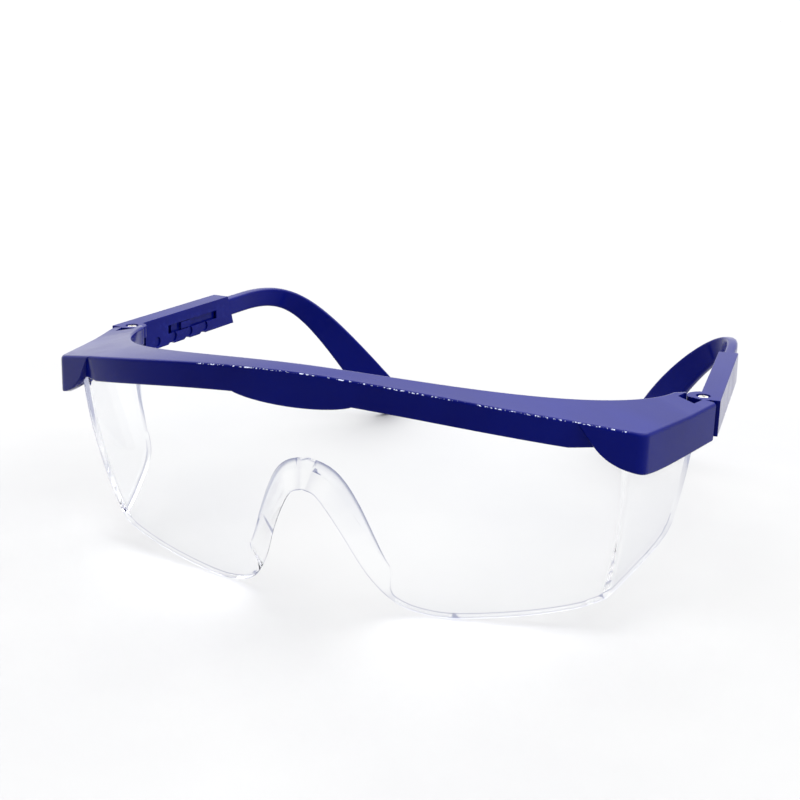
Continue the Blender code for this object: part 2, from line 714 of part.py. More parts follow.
def arm_section(centre, tangent, height, side):
    """Chamfered upright rectangle square to the arm."""
    outward = tangent.cross(Vector((0, 0, 1))).normalized()
    upward = outward.cross(tangent).normalized()
    half_x = ARM_THICKNESS / 2
    half_z = height / 2
    cut = min(ARM_CHAMFER, 0.6 * half_z)
    corners = (
        (half_x, half_z - cut), (half_x - cut, half_z), (cut - half_x, half_z), (-half_x, half_z - cut),
        (-half_x, cut - half_z), (cut - half_x, -half_z), (half_x - cut, -half_z), (half_x, cut - half_z),
    )
    loop = [centre + outward * x + upward * z for x, z in corners]
    return [Vector((side * point.x, point.y, point.z)) for point in loop]


def build_arm(side, housing, material):
    """Sliding arm with the ear bend; it rides on the housing."""
    label = "left" if side < 0 else "right"
    start = Vector((ARM_CENTRE_X, ARM_STRAIGHT_END_Y, ARM_CENTRE_Z))
    curve = (start,) + EAR_CURVE
    straight = Vector((0, 1, 0))
    front = Vector((ARM_CENTRE_X, ARM_FRONT_Y, ARM_CENTRE_Z))
    loops = [arm_section(front, straight, ARM_HEIGHT, side)]
    for i in range(EAR_STATIONS + 1):
        t = i / EAR_STATIONS
        tangent = bezier(curve, min(t + 0.01, 1.0)) - bezier(curve, max(t - 0.01, 0.0))
        height = ARM_HEIGHT + (EAR_HEIGHT - ARM_HEIGHT) * t * t
        loops.append(arm_section(bezier(curve, t), tangent.normalized(), height, side))
    ending = (EAR_TIP - curve[3]).normalized()
    for i in range(1, TIP_STATIONS + 1):
        angle = 0.5 * math.pi * i / TIP_STATIONS
        centre = curve[3].lerp(EAR_TIP, math.sin(angle))
        height = EAR_HEIGHT * max(math.cos(angle), TIP_END_SHARE) ** TIP_ROUNDING
        loops.append(arm_section(centre, ending, height, side))
    arm = loft(f"temple_arm_{label}", loops, material)

    tongue_side = ARM_CENTRE_X - ARM_THICKNESS / 2
    low_x, high_x = sorted((side * (HOUSING_INNER_X + PEG_INSET), side * (tongue_side + PEG_ROOT)))
    peg = box(
        f"peg_{label}",
        (low_x, PEG_Y - PEG_LENGTH / 2, SLOT_CENTRE_Z - PEG_HEIGHT / 2),
        (high_x, PEG_Y + PEG_LENGTH / 2, SLOT_CENTRE_Z + PEG_HEIGHT / 2),
    )
    peg.parent = arm
    combine(arm, peg, "UNION")
    arm.parent = housing
    return arm


def build_screw(side, material):
    """Hinge screw: a shank and a flat head."""
    label = "left" if side < 0 else "right"
    head_bottom = HOUSING_TOP - RECESS_DEPTH + SCREW_SEAT_GAP
    end_z = HOUSING_BOTTOM + SCREW_END_INSET
    profile = (
        (0.0, end_z),
        (SCREW_RADIUS, end_z),
        (SCREW_RADIUS, head_bottom),
        (SCREW_HEAD_RADIUS, head_bottom),
        (SCREW_HEAD_RADIUS, head_bottom + SCREW_HEAD_HEIGHT),
        (0.0, head_bottom + SCREW_HEAD_HEIGHT),
    )
    bm = bmesh.new()
    verts = [bm.verts.new((radius, 0.0, z)) for radius, z in profile]
    edges = [bm.edges.new(pair) for pair in zip(verts, verts[1:])]
    bmesh.ops.spin(
        bm, geom=verts + edges, axis=(0, 0, 1), cent=(0, 0, 0), angle=2 * math.pi, steps=20
    )
    bmesh.ops.remove_doubles(bm, verts=bm.verts, dist=0.001 * mm)
    screw = object_from_bmesh(f"hinge_screw_{label}", bm, material)
    screw.location = (side * HINGE.x, HINGE.y, 0.0)
    return screw


def stand_on_table():
    """Tip the whole pair back until lens and ear tips touch the table."""
    stand = bpy.data.objects.new("stand", None)
    bpy.context.collection.objects.link(stand)
    tilt = Matrix.Rotation(-STAND_TILT, 4, "X")
    pivot = Matrix.Translation((0.0, STAND_PIVOT_Y + STAND_SHIFT_Y, 0.0))
    stand.matrix_world = pivot @ tilt @ Matrix.Translation((0.0, -STAND_PIVOT_Y, 0.0))
    for obj in bpy.data.objects:
        if obj.parent is None and obj is not stand:
            obj.parent = stand


def main():
    clear_scene()
    blue = make_material("blue_plastic", (0.012, 0.02, 0.30), 0.22)
    clear = make_material("clear_polycarbonate", (0.95, 0.97, 1.0), 0.05, alpha=0.35)
    steel = make_material("screw_steel", (0.72, 0.70, 0.66), 0.3, metallic=1.0)
    build_brow_frame(blue)
    build_lens(clear)
    for side in (-1, 1):
        housing = build_housing(side, blue)
        build_arm(side, housing, blue)
        build_screw(side, steel)
    stand_on_table()


main()
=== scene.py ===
"""Looks of the safety glasses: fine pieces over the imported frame, materials, table, light and camera.

Lengths are in metres.  Every piece is built level, in the coordinates of its CAD solid, and then tipped onto
the table by the matrix that stand_matrix reads from the record.
"""
import json
import math

import bmesh
import bpy
from mathutils import Matrix, Vector

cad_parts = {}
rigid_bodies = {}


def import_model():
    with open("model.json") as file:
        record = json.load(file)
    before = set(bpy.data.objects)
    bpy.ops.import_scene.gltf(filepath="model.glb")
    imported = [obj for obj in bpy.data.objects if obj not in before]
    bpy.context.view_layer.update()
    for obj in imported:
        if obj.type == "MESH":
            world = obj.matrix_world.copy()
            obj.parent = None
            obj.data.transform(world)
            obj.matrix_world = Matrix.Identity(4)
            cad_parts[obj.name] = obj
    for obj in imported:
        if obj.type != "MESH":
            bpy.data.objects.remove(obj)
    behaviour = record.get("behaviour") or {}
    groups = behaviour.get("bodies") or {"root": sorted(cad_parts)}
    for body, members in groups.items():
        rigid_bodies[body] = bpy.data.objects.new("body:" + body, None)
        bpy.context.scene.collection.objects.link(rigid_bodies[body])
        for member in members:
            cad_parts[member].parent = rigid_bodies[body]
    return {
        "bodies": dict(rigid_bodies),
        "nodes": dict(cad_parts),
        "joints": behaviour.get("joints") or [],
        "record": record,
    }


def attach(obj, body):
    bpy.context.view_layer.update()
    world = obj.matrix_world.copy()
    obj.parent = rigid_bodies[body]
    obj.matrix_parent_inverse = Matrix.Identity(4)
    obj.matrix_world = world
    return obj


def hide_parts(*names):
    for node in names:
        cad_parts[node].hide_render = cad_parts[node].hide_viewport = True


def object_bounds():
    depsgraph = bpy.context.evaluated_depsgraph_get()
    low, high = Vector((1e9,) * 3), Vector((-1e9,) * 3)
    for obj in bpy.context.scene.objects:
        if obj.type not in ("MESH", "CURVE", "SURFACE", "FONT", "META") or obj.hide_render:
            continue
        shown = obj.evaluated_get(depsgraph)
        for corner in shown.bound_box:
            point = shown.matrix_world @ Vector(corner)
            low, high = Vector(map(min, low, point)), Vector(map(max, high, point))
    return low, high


mm = 0.001

# ---- overall shape of the brow frame ----
BROW_FRONT_Y = -79.7 * mm        # foremost ridge, at the middle of the brow
BROW_END_TOP = 47.6 * mm         # height of the flat top at both ends
BROW_RISE = 10.7 * mm            # how much higher the middle stands
BROW_RISE_SPAN = 74.5 * mm       # half-width over which the top is arched
BROW_RISE_POWER = 1.15
FRONT_SWEEP = 13.7 * mm          # how far the ridge has swept back at FRONT_SWEEP_X
FRONT_SWEEP_X = 56.0 * mm
FRONT_SWEEP_POWER = 2.55

FASCIA_HEIGHT = 6.0 * mm         # front strip of the brow
FASCIA_LEAN = 0.2                # its lower edge leans back by this much of its height
DIP_DEPTH = 2.1 * mm             # deeper middle of the front strip, over the nose
DIP_HALF_WIDTH = 13.5 * mm
DIP_POWER = 0.8
BROW_WALL = 1.7 * mm
BROW_PLATE = 2.2 * mm
LIP_HEIGHT = 2.6 * mm            # turned-down rear edge of the top plate
LIP_WALL = 1.1 * mm
RIDGE_ROUNDING = 0.9 * mm        # corners of the brow's section, from the ridge down and round
FASCIA_ROUNDING = 0.55 * mm
WALL_ROUNDING = 0.35 * mm
GROOVE_ROUNDING = 0.4 * mm
LIP_ROUNDING = 0.3 * mm
REAR_ROUNDING = 0.8 * mm

# ---- end wings, which wrap round the corners and become the side walls ----
WING_TOP_X = 56.6 * mm           # the slanted step between front strip and wing
WING_BOTTOM_X = 60.4 * mm
WING_START = Vector((60.5 * mm, -63.5 * mm))
WING_CORNER = Vector((69.3 * mm, -58.46 * mm))
WING_CORNER_RADIUS = 4.5 * mm
WALL_SLOPE = 0.235               # side walls spread by this much for each unit of length
WALL_END = Vector((77.45 * mm, -23.7 * mm))
WING_BOTTOM = 38.7 * mm          # lower edge of the wall
WING_BOTTOM_DROP = 6.9 * mm      # extra height of that edge where the wing starts
WING_BOTTOM_LENGTH = 6.0 * mm
WING_SLANT_LENGTH = 9.0 * mm
WING_STEP_WIDTH = 0.3 * mm       # sideways run of the step itself

# ---- rear edge of the top plate ----
PLATE_REAR_Y = -72.5 * mm
PLATE_REAR_X = 68.2 * mm
PLATE_REAR_DEPTH = 51.5 * mm
PLATE_REAR_POWER = 2.4
PLATE_REAR_ROUNDING = 1.48
PLATE_REAR_STEPS = 120
PLATE_REAR_SHARE = 0.9975        # the curve stops this far along, where it turns straight back
PLATE_REAR_END_Y = -23.5 * mm    # from here a straight edge runs to the gusset tip
GUSSET_TIP = Vector((69.6 * mm, -21.0 * mm))

# ---- hinges ----
HINGE = Vector((73.9 * mm, -19.7 * mm))
TOE_IN = math.radians(3.97)      # both temples point inwards by this angle
LUG_RADIUS = 2.8 * mm
LUG_BOTTOM = 41.5 * mm
LUG_TOP = 44.5 * mm
NECK_HALF_WIDTH = 2.6 * mm
END_BLOCK_INNER_X = 71.0 * mm
END_BLOCK_OUTER_X = 76.0 * mm    # inside the thickness of the side wall
END_BLOCK_FRONT_Y = -28.5 * mm
END_BLOCK_LIFT = 0.2 * mm        # the block starts this far above the wall's lower edge
TAIL_INNER_X = 73.3 * mm         # outside of this X nothing reaches behind WALL_END
LUG_TOP_STEP = 0.01 * mm         # neck and lug stay this much below the end block
NOTCH_OUTLINE = (
    (69.4, -26.2), (70.1, -22.3), (70.58, -21.9), (70.1, -20.9), (69.8, -15.1), (75.05, -15.1),
    (74.6, -23.55), (73.4, -28.3),
)
FORK_CLEARANCE = 0.3 * mm
LUG_GAP = 0.35 * mm
KNUCKLE_RADIUS = 3.7 * mm
KNUCKLE_FLAT_DISTANCE = 3.1 * mm
KNUCKLE_FLAT_NORMAL = Vector((-0.447, -0.894))
SCREW_RADIUS = 0.7 * mm
SCREW_HOLE_RADIUS = 1.0 * mm
SCREW_HEAD_RADIUS = 1.25 * mm
SCREW_HEAD_HEIGHT = 1.15 * mm
SCREW_END_INSET = 0.4 * mm       # the shank stops this far above the housing's underside
SCREW_SEAT_GAP = 0.2 * mm
SCREW_END_CHAMFER = 0.1 * mm
SCREW_RIM_CHAMFER = 0.05 * mm    # lower edge of the head
SCREW_DOME_ROUNDING = 0.3 * mm
SCREW_DOME_STEPS = 6
SCREW_TURN = 0.5                 # where the cross recess points, in radians
GROOVE_HALF_LENGTH = 0.75 * mm   # cross recess in the screw's head
GROOVE_HALF_WIDTH = 0.16 * mm
GROOVE_DEPTH = 0.4 * mm
RECESS_RADIUS = 1.65 * mm
RECESS_DEPTH = 1.5 * mm
CUTTER_BOTTOM = 30.0 * mm        # heights and reach of the tools that cut right through
CUTTER_TOP = 55.0 * mm
CUTTER_REACH = 8.0 * mm

# ---- temple housings (in a frame at the hinge axis, Y along the temple, X outwards) ----
HOUSING_INNER_X = -0.75 * mm
HOUSING_OUTER_X = 4.1 * mm
HOUSING_BOTTOM = 39.5 * mm
HOUSING_TOP = 47.8 * mm
HOUSING_FRONT_Y = -3.0 * mm
HOUSING_REAR_TOP_Y = 45.1 * mm
HOUSING_REAR_BOTTOM_Y = 48.0 * mm
HOUSING_ROUNDING = 0.35 * mm     # long outer edges
CUT_ROUNDING = 0.07 * mm         # edges of the slot, dimples and scallops
CHEEK_INNER_X = 1.6 * mm
CAVITY_FRONT_Y = 8.0 * mm
SLOT_START_Y = 15.2 * mm
SLOT_END_Y = 38.9 * mm
SLOT_CENTRE_Z = 43.7 * mm
SLOT_HEIGHT = 2.3 * mm
DIMPLE_START_Y = 10.2 * mm
DIMPLE_PITCH = 7.6 * mm
DIMPLE_COUNT = 4
DIMPLE_RADIUS = 1.3 * mm
DIMPLE_DEPTH = 0.35 * mm
DIMPLE_Z = 41.4 * mm
SCALLOP_START_Y = 16.6 * mm
SCALLOP_COUNT = 3
SCALLOP_RADIUS = 2.2 * mm
SCALLOP_DEPTH = 0.6 * mm

# ---- temple arms (same frame) ----
ARM_THICKNESS = 2.8 * mm
ARM_CENTRE_X = 1.5 * mm
ARM_CENTRE_Z = 44.1 * mm
ARM_HEIGHT = 5.3 * mm
EAR_HEIGHT = 11.2 * mm
ARM_FRONT_Y = 17.7 * mm
ARM_STRAIGHT_END_Y = 56.5 * mm
ARM_CLEARANCE = 0.3 * mm
ARM_ROUNDING = 0.966 * mm
EAR_CURVE = (                    # control points of the ear bend after the straight stretch
    Vector((1.5 * mm, 86.7 * mm, 44.1 * mm)),
    Vector((-11.54 * mm, 78.75 * mm, 37.7 * mm)),
    Vector((-24.18 * mm, 96.96 * mm, 11.2 * mm)),
)
EAR_TIP = Vector((-27.5 * mm, 104.2 * mm, 4.4 * mm))   # where the arm ends
EAR_STATIONS = 78                # sections round the ear bend
TIP_STATIONS = 18                # sections over its rounded end
TIP_END_SHARE = 0.18
TIP_ROUNDING = 0.6
PEG_Y = 23.65 * mm
PEG_LENGTH = 4.4 * mm
PEG_HEIGHT = 1.8 * mm
PEG_INSET = 0.15 * mm
PEG_ROOT = 0.4 * mm              # how deep the peg is let into the arm

# ---- lens ----
LENS_THICKNESS = 2.0 * mm
LENS_FRONT_Y = -76.0 * mm
LENS_LEAN_Z = 50.0 * mm          # height from which the lens leans and curves back
LENS_LEAN = 0.13
LENS_BOW = 3.8                   # backward curve in height, per metre
LENS_WRAP = 4.4                  # backward curve in width, per metre
FOLD_X = 65.1 * mm               # where the front turns into the side shields
FOLD_TAPER = 3.7                 # the folds draw together towards the bottom
FOLD_TAPER_Z = 41.0 * mm
FOLD_ROUNDING = 2.6 * mm
LENS_TOP_CLEARANCE = 0.4 * mm
FOLD_EDGE_RISE = 0.25            # rise of the lower edge round the fold
LOBE_OUTLINE = (                 # lower edge from the nose to the fold: X, Z in millimetres
    (0.0, 30.4), (2.9, 29.1), (6.0, 24.0), (8.6, 18.4), (10.9, 12.8), (12.8, 9.0), (15.6, 4.9),
    (19.5, 1.8), (25.0, 0.3), (31.0, 0.2), (44.0, 1.9), (54.0, 4.0), (60.6, 6.3),
)
SHIELD_OUTLINE = (               # distance past the fold and Z: bottom edge, then top edge
    (5.1, 7.4, 7.0, 45.1), (9.9, 8.6, 13.0, 45.1), (14.5, 9.9, 19.0, 45.1),
    (19.3, 11.3, 25.0, 45.1), (22.5, 12.4, 27.9, 38.2), (25.2, 13.6, 30.5, 38.15),
    (27.4, 15.1, 32.5, 38.1), (28.9, 17.1, 33.8, 38.05), (29.7, 19.6, 34.4, 38.0),
)
SHIELD_DIRECTION = Vector((0.2288, 0.9735))
FLANGE_WIDTH = 5.2 * mm          # nose flange, flared outwards and backwards from the cut-out
FLANGE_DEPTH = 5.0 * mm
FLANGE_WALL = 1.4 * mm
FLANGE_WIDTH_FADE = (13.0 * mm, 18.5 * mm)
FLANGE_DEPTH_FADE = (4.0 * mm, 15.0 * mm)
EDGE_STEP = 0.2 * mm             # spacing of section points where the flange has faded out
FOLD_GAP = 0.4 * mm              # the lobe's columns stop this far before the fold's rounding

# ---- fineness of the lens ----
LOBE_FINE_STEPS = 9
SHIELD_STEPS = 5
FOLD_FINE_STATIONS = 15
FINE_ROWS = 26
SLOPE_STEP = 0.05 * mm           # distance over which the lens's slope is measured
EDGE_RADII = (0.5 * mm, 0.7 * mm, 0.7 * mm, 1.2 * mm)

# ---- colours, linear ----
BLUE_DEEP = (0.0004, 0.0022, 0.1)
BLUE_BRIGHT = (0.0008, 0.004, 0.128)
BLUE_WORN = (0.03, 0.05, 0.42)
# painted highlight: colour of the glints painted along the front ridge
PAINTED_GLINT = (0.75, 0.80, 1.0)
STEEL = (0.78, 0.76, 0.70)
STEEL_DULL = (0.45, 0.44, 0.42)
TABLE_DARK = (0.355, 0.355, 0.358)
TABLE_LIGHT = (0.372, 0.372, 0.372)

LENS_CLEAR = (0.995, 0.998, 1.0)
LENS_COOL = (0.985, 0.99, 1.0)
LENS_RIM = (0.26, 0.28, 0.43)    # painted shade: the lens darkened where it is seen edge on and at its sharp edges
LENS_IOR = 1.1                   # low, so that the thick folds stay light

PLASTIC_SPECULAR = 0.06
PLASTIC_ROUGHNESS = (0.12, 0.18)
SCRATCH_ROUGHNESS = 0.06         # extra roughness in the scratches
WORN_SHARE = 0.12                # strength of the worn colour on the edges
TABLE_ROUGHNESS = 0.7
TABLE_SPECULAR = 0.2

# ---- room and table ----
TABLE_HALF_SIZE = 6.0
ROOM_DARK = (0.6, 0.6, 0.63)     # the room on the camera's side, above the horizon
ROOM_LOW = (1.05, 1.05, 1.06)    # the horizon, and the walls behind the glasses
ROOM_LIGHT = (5.0, 5.0, 5.0)     # soft light overhead and behind
BEHIND_RANGE = (-0.35, 0.2)      # Y of the direction over which the room behind begins
OVERHEAD_RANGE = (0.28, 0.6)     # Z of the direction over which the overhead light begins
HORIZON_RANGE = (0.02, 0.16)     # Z of the direction over which the bright horizon ends

# ---- fineness of the visible pieces ----
DIP_STEPS = 24
FASCIA_STEPS = 60
WING_STEP = 0.45 * mm
CORNER_STEPS = 4
CORNER_REACH = 0.45              # a rounding takes at most this share of an edge
KNUCKLE_STEPS = 40
LUG_GAP_STEPS = 16
WING_SEARCH_STEP = 0.1 * mm      # step with which the end of the wall is looked for
EAR_TANGENT_STEP = 0.01          # half the stretch of curve that a tangent spans
SHARP_ANGLE = math.radians(34.0)
GLINTS_FROM_X = -22.0 * mm       # stretch of the front ridge with painted glints: white specks painted as light catching its ragged moulding line
GLINTS_TO_X = 67.0 * mm

# ---- camera, in the level coordinates of the pieces ----
CAMERA_PLACE = Vector((0.1199, -0.3253, 0.1295))
CAMERA_AZIMUTH = math.radians(21.2)
CAMERA_ELEVATION = math.radians(15.7)
CAMERA_ROLL = math.radians(1.67)
CAMERA_LENS_MM = 63.0
CAMERA_SENSOR_MM = 36.0
CAMERA_CLIP_START = 0.01


# ---------------------------------------------------------------- mesh helpers

def stand_matrix(record):
    """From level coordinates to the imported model's, read from the right-hand hinge joint."""
    joints = {joint["name"]: joint for joint in record["behaviour"]["joints"]}
    hinge = joints["hinge_right"]
    tilt = Matrix.Rotation(-math.asin(hinge["axis"][1]), 4, "X")
    level_hinge = Vector((HINGE.x, HINGE.y, LUG_TOP))
    return Matrix.Translation(hinge["pos_m"]) @ tilt @ Matrix.Translation(-level_hinge)


def object_from_bmesh(name, bm):
    """Turn a bmesh into a named object with outward faces."""
    bmesh.ops.recalc_face_normals(bm, faces=bm.faces)
    mesh = bpy.data.meshes.new(name)
    bm.to_mesh(mesh)
    bm.free()
    obj = bpy.data.objects.new(name, mesh)
    bpy.context.collection.objects.link(obj)
    return obj


def loft(name, loops, glint_point=None):
    """Skin a row of closed loops and cap both ends; one point of the front loops may be marked for painted
    glints.
    """
    bm = bmesh.new()
    mark = bm.verts.layers.float.new("ridge")
    rings = [[bm.verts.new(point) for point in loop] for loop in loops]
    for ring, following in zip(rings, rings[1:]):
        for index in range(len(ring)):
            after = (index + 1) % len(ring)
            bm.faces.new((ring[index], ring[after], following[after], following[index]))
    bm.faces.new(rings[0])
    bm.faces.new(rings[-1])
    if glint_point is not None:
        for ring in rings:
            if GLINTS_FROM_X < ring[glint_point].co.x < GLINTS_TO_X:
                ring[glint_point][mark] = 1.0
    return object_from_bmesh(name, bm)


def prism(name, outline, bottom, top):
    """An upright prism over a plan outline."""
    return loft(name, [[Vector((x, y, z)) for x, y in outline] for z in (bottom, top)])


def box(name, low, high):
    """A box between two corners."""
    outline = ((low[0], low[1]), (high[0], low[1]), (high[0], high[1]), (low[0], high[1]))
    return prism(name, outline, low[2], high[2])


def side_label(side):
    """The word for a side: -1 is left, 1 is right."""
    return "left" if side < 0 else "right"


def side_box(name, side, low, high):
    """A box of one side; its corners are given for the right-hand one."""
    low_x, high_x = sorted((side * low[0], side * high[0]))
    return box(f"{name}_{side_label(side)}", (low_x, low[1], low[2]), (high_x, high[1], high[2]))


def upright_cylinder(name, centre, radius, bottom, top, segments=48):
    """A vertical cylinder."""
    turn = 2.0 * math.pi / segments
    outline = [
        (centre[0] + radius * math.cos(turn * i), centre[1] + radius * math.sin(turn * i))
        for i in range(segments)
    ]
    return prism(name, outline, bottom, top)


def cross_cylinder(name, side, y, z, radius, x_range, segments=40):
    """A cylinder that lies across a temple, along its local X."""
    turn = 2.0 * math.pi / segments
    loops = [
        [
            Vector((side * x, y + radius * math.cos(turn * i), z + radius * math.sin(turn * i)))
            for i in range(segments)
        ]
        for x in x_range
    ]
    return loft(name, loops)


def combine(target, tool, operation):
    """Boolean with a helper object."""
    modifier = target.modifiers.new(tool.name, "BOOLEAN")
    modifier.operation = operation
    modifier.solver = "EXACT"
    modifier.object = tool


def soften(obj, width, angle=40.0):
    """Round the edges of a piece."""
    modifier = obj.modifiers.new("soft_edges", "BEVEL")
    modifier.width = width
    modifier.segments = 3
    modifier.limit_method = "ANGLE"
    modifier.angle_limit = math.radians(angle)
    modifier.use_clamp_overlap = True


def settle(obj, matrix):
    """Apply a piece's modifiers, place its mesh with the matrix and shade it."""
    bpy.context.view_layer.update()
    depsgraph = bpy.context.evaluated_depsgraph_get()
    mesh = bpy.data.meshes.new_from_object(obj.evaluated_get(depsgraph))
    tools = [modifier.object for modifier in obj.modifiers if modifier.type == "BOOLEAN"]
    obj.modifiers.clear()
    obj.data = mesh
    for tool in tools:
        bpy.data.objects.remove(tool, do_unlink=True)
    mesh.transform(matrix)
    mesh.shade_smooth()
    mesh.set_sharp_from_angle(angle=SHARP_ANGLE)
    even = obj.modifiers.new("even_shading", "WEIGHTED_NORMAL")
    even.keep_sharp = True


def round_corners(corners, radii, steps=CORNER_STEPS):
    """Replace each corner of a closed loop by a short curve."""
    loop = []
    for index, (corner, radius) in enumerate(zip(corners, radii)):
        before = corners[index - 1] - corner
        after = corners[(index + 1) % len(corners)] - corner
        start = corner + before.normalized() * min(radius, CORNER_REACH * before.length)
        end = corner + after.normalized() * min(radius, CORNER_REACH * after.length)
        for step in range(steps + 1):
            t = step / steps
            loop.append(start * (1 - t) ** 2 + corner * 2 * t * (1 - t) + end * t * t)
    return loop


def catmull_rom(points, steps):
    """Points along a smooth curve through the given points."""
    points = [Vector(point) for point in points]
    padded = [2 * points[0] - points[1]] + points + [2 * points[-1] - points[-2]]
    curve = []
    for p0, p1, p2, p3 in zip(padded, padded[1:], padded[2:], padded[3:]):
        for step in range(steps):
            t = step / steps
            curve.append(
                0.5 * (2 * p1 + (p2 - p0) * t + (2 * p0 - 5 * p1 + 4 * p2 - p3) * t * t
                       + (3 * p1 - p0 - 3 * p2 + p3) * t ** 3)
            )
    curve.append(points[-1])
    return curve


def polyline_normals(points):
    """Plan normals, pointing to the right of the direction of travel."""
    normals = []
    for index in range(len(points)):
        before = points[max(index - 1, 0)]
        after = points[min(index + 1, len(points) - 1)]
        direction = (after - before).normalized()
        normals.append(Vector((direction.y, -direction.x)))
    return normals


def resample(points, fractions):
    """Points of a plan polyline at the given fractions of its length."""
    lengths = [0.0]
    for a, b in zip(points, points[1:]):
        lengths.append(lengths[-1] + (b - a).length)
    result = []
    for fraction in fractions:
        target = fraction * lengths[-1]
        index = 0
        while index < len(points) - 2 and lengths[index + 1] < target:
            index += 1
        share = (target - lengths[index]) / (lengths[index + 1] - lengths[index])
        result.append(points[index].lerp(points[index + 1], min(max(share, 0.0), 1.0)))
    return result


def brow_top(x):
    """Height of the brow's top surface."""
    reach = min(abs(x) / BROW_RISE_SPAN, 1.0)
    return BROW_END_TOP + BROW_RISE * (1.0 - reach * reach) ** BROW_RISE_POWER


def ridge_point(x):
    """Front ridge of the brow in plan."""
    return Vector((x, BROW_FRONT_Y + FRONT_SWEEP * (x / FRONT_SWEEP_X) ** FRONT_SWEEP_POWER))


def wing_path(distance):
    """Plan line of wing and side wall, measured from WING_START."""
    along = (WING_CORNER - WING_START).normalized()
    wall = Vector((WALL_SLOPE, 1.0)).normalized()
    turn = along.angle(wall)
    tangent = WING_CORNER_RADIUS * math.tan(turn / 2)
    first = (WING_CORNER - WING_START).length - tangent
    if distance <= first:
        return WING_START + along * distance
    arc = WING_CORNER_RADIUS * turn
    start = WING_START + along * first
    inward = Vector((-along.y, along.x))
    if distance <= first + arc:
        angle = (distance - first) / WING_CORNER_RADIUS
        centre = start + inward * WING_CORNER_RADIUS
        return centre - inward * WING_CORNER_RADIUS * math.cos(angle) \
            + along * WING_CORNER_RADIUS * math.sin(angle)
    return WING_CORNER + wall * (tangent + distance - first - arc)


def wing_distance_at(x):
    """Distance along wing_path of the point with this X, on its straight front stretch."""
    return (x - WING_START.x) / (WING_CORNER - WING_START).normalized().x


def wing_length():
    """Distance along wing_path at which the side wall ends."""
    distance = 0.0
    while wing_path(distance).y < WALL_END.y:
        distance += WING_SEARCH_STEP
    return distance


def outer_stations():
    """Top and bottom of the brow's outer face: two plan points and the bottom height, per station."""
    stations = []
    front_xs = [DIP_HALF_WIDTH * math.sin(0.5 * math.pi * i / DIP_STEPS) for i in range(DIP_STEPS + 1)]
    spacing = (WING_TOP_X - DIP_HALF_WIDTH) / FASCIA_STEPS
    front_xs += [DIP_HALF_WIDTH + spacing * i for i in range(1, FASCIA_STEPS)]
    for x in front_xs:
        reach = min(x / DIP_HALF_WIDTH, 1.0)
        height = FASCIA_HEIGHT + DIP_DEPTH * (1.0 - reach * reach) ** DIP_POWER
        ridge = ridge_point(x)
        normal = polyline_normals([ridge_point(max(x - mm, 0.0)), ridge_point(x + mm)])[0]
        stations.append((ridge, ridge - normal * FASCIA_LEAN * height, brow_top(x) - height))
    last_top = ridge_point(WING_TOP_X)
    last_bottom = ridge_point(WING_BOTTOM_X)
    normal = polyline_normals([last_top, last_bottom])[0]
    wing_step_z = WING_BOTTOM + WING_BOTTOM_DROP
    stations.append((last_top, last_bottom - normal * FASCIA_LEAN * FASCIA_HEIGHT, wing_step_z))

    start = wing_distance_at(WING_TOP_X + WING_STEP_WIDTH)
    end = wing_length()
    slant = wing_distance_at(WING_BOTTOM_X + WING_STEP_WIDTH) - start
    count = round((end - start) / WING_STEP)
    for i in range(count + 1):
        distance = start + (end - start) * i / count
        lower = distance + slant * max(0.0, 1.0 - (distance - start) / WING_SLANT_LENGTH)
        bottom = WING_BOTTOM + WING_BOTTOM_DROP * math.exp(-max(lower, 0.0) / WING_BOTTOM_LENGTH)
        stations.append((wing_path(distance), wing_path(lower), bottom))
    return stations


def plate_rear_path():
    """Rear edge of the top plate in plan, from the middle to the tip beside the hinge."""
    points = []
    for i in range(PLATE_REAR_STEPS + 1):
        x = PLATE_REAR_X * PLATE_REAR_SHARE * math.sin(0.5 * math.pi * i / PLATE_REAR_STEPS)
        rise = 1.0 - (1.0 - (x / PLATE_REAR_X) ** PLATE_REAR_POWER) ** (1.0 / PLATE_REAR_ROUNDING)
        points.append(Vector((x, PLATE_REAR_Y + PLATE_REAR_DEPTH * rise)))
    while points[-1].y > PLATE_REAR_END_Y:
        points.pop()
    points.append(GUSSET_TIP)
    return points


def brow_section(outer_top, outer_bottom, bottom_z, outer_normal, inner, inner_normal):
    """One rounded section of the brow: a channel, open downwards, that holds the lens."""
    top_outer = brow_top(outer_top.x)
    top_inner = brow_top(inner.x)
    share = BROW_PLATE / (top_outer - bottom_z)
    wall_top = outer_top.lerp(outer_bottom, share) - outer_normal * BROW_WALL
    wall_bottom = outer_bottom - outer_normal * BROW_WALL
    lip = inner + inner_normal * LIP_WALL
    corners = (
        (outer_top, top_outer, RIDGE_ROUNDING),
        (outer_bottom, bottom_z, FASCIA_ROUNDING),
        (wall_bottom, bottom_z, WALL_ROUNDING),
        (wall_top, top_outer - BROW_PLATE, GROOVE_ROUNDING),
        (lip, top_inner - BROW_PLATE, GROOVE_ROUNDING),
        (lip, top_inner - BROW_PLATE - LIP_HEIGHT, LIP_ROUNDING),
        (inner, top_inner - BROW_PLATE - LIP_HEIGHT, LIP_ROUNDING),
        (inner, top_inner, REAR_ROUNDING),
    )
    points = [Vector((point.x, point.y, height)) for point, height, radius in corners]
    return round_corners(points, [radius for point, height, radius in corners])


def mirrored(loop):
    """The same loop on the other side of the glasses."""
    return [Vector((-point.x, point.y, point.z)) for point in loop]


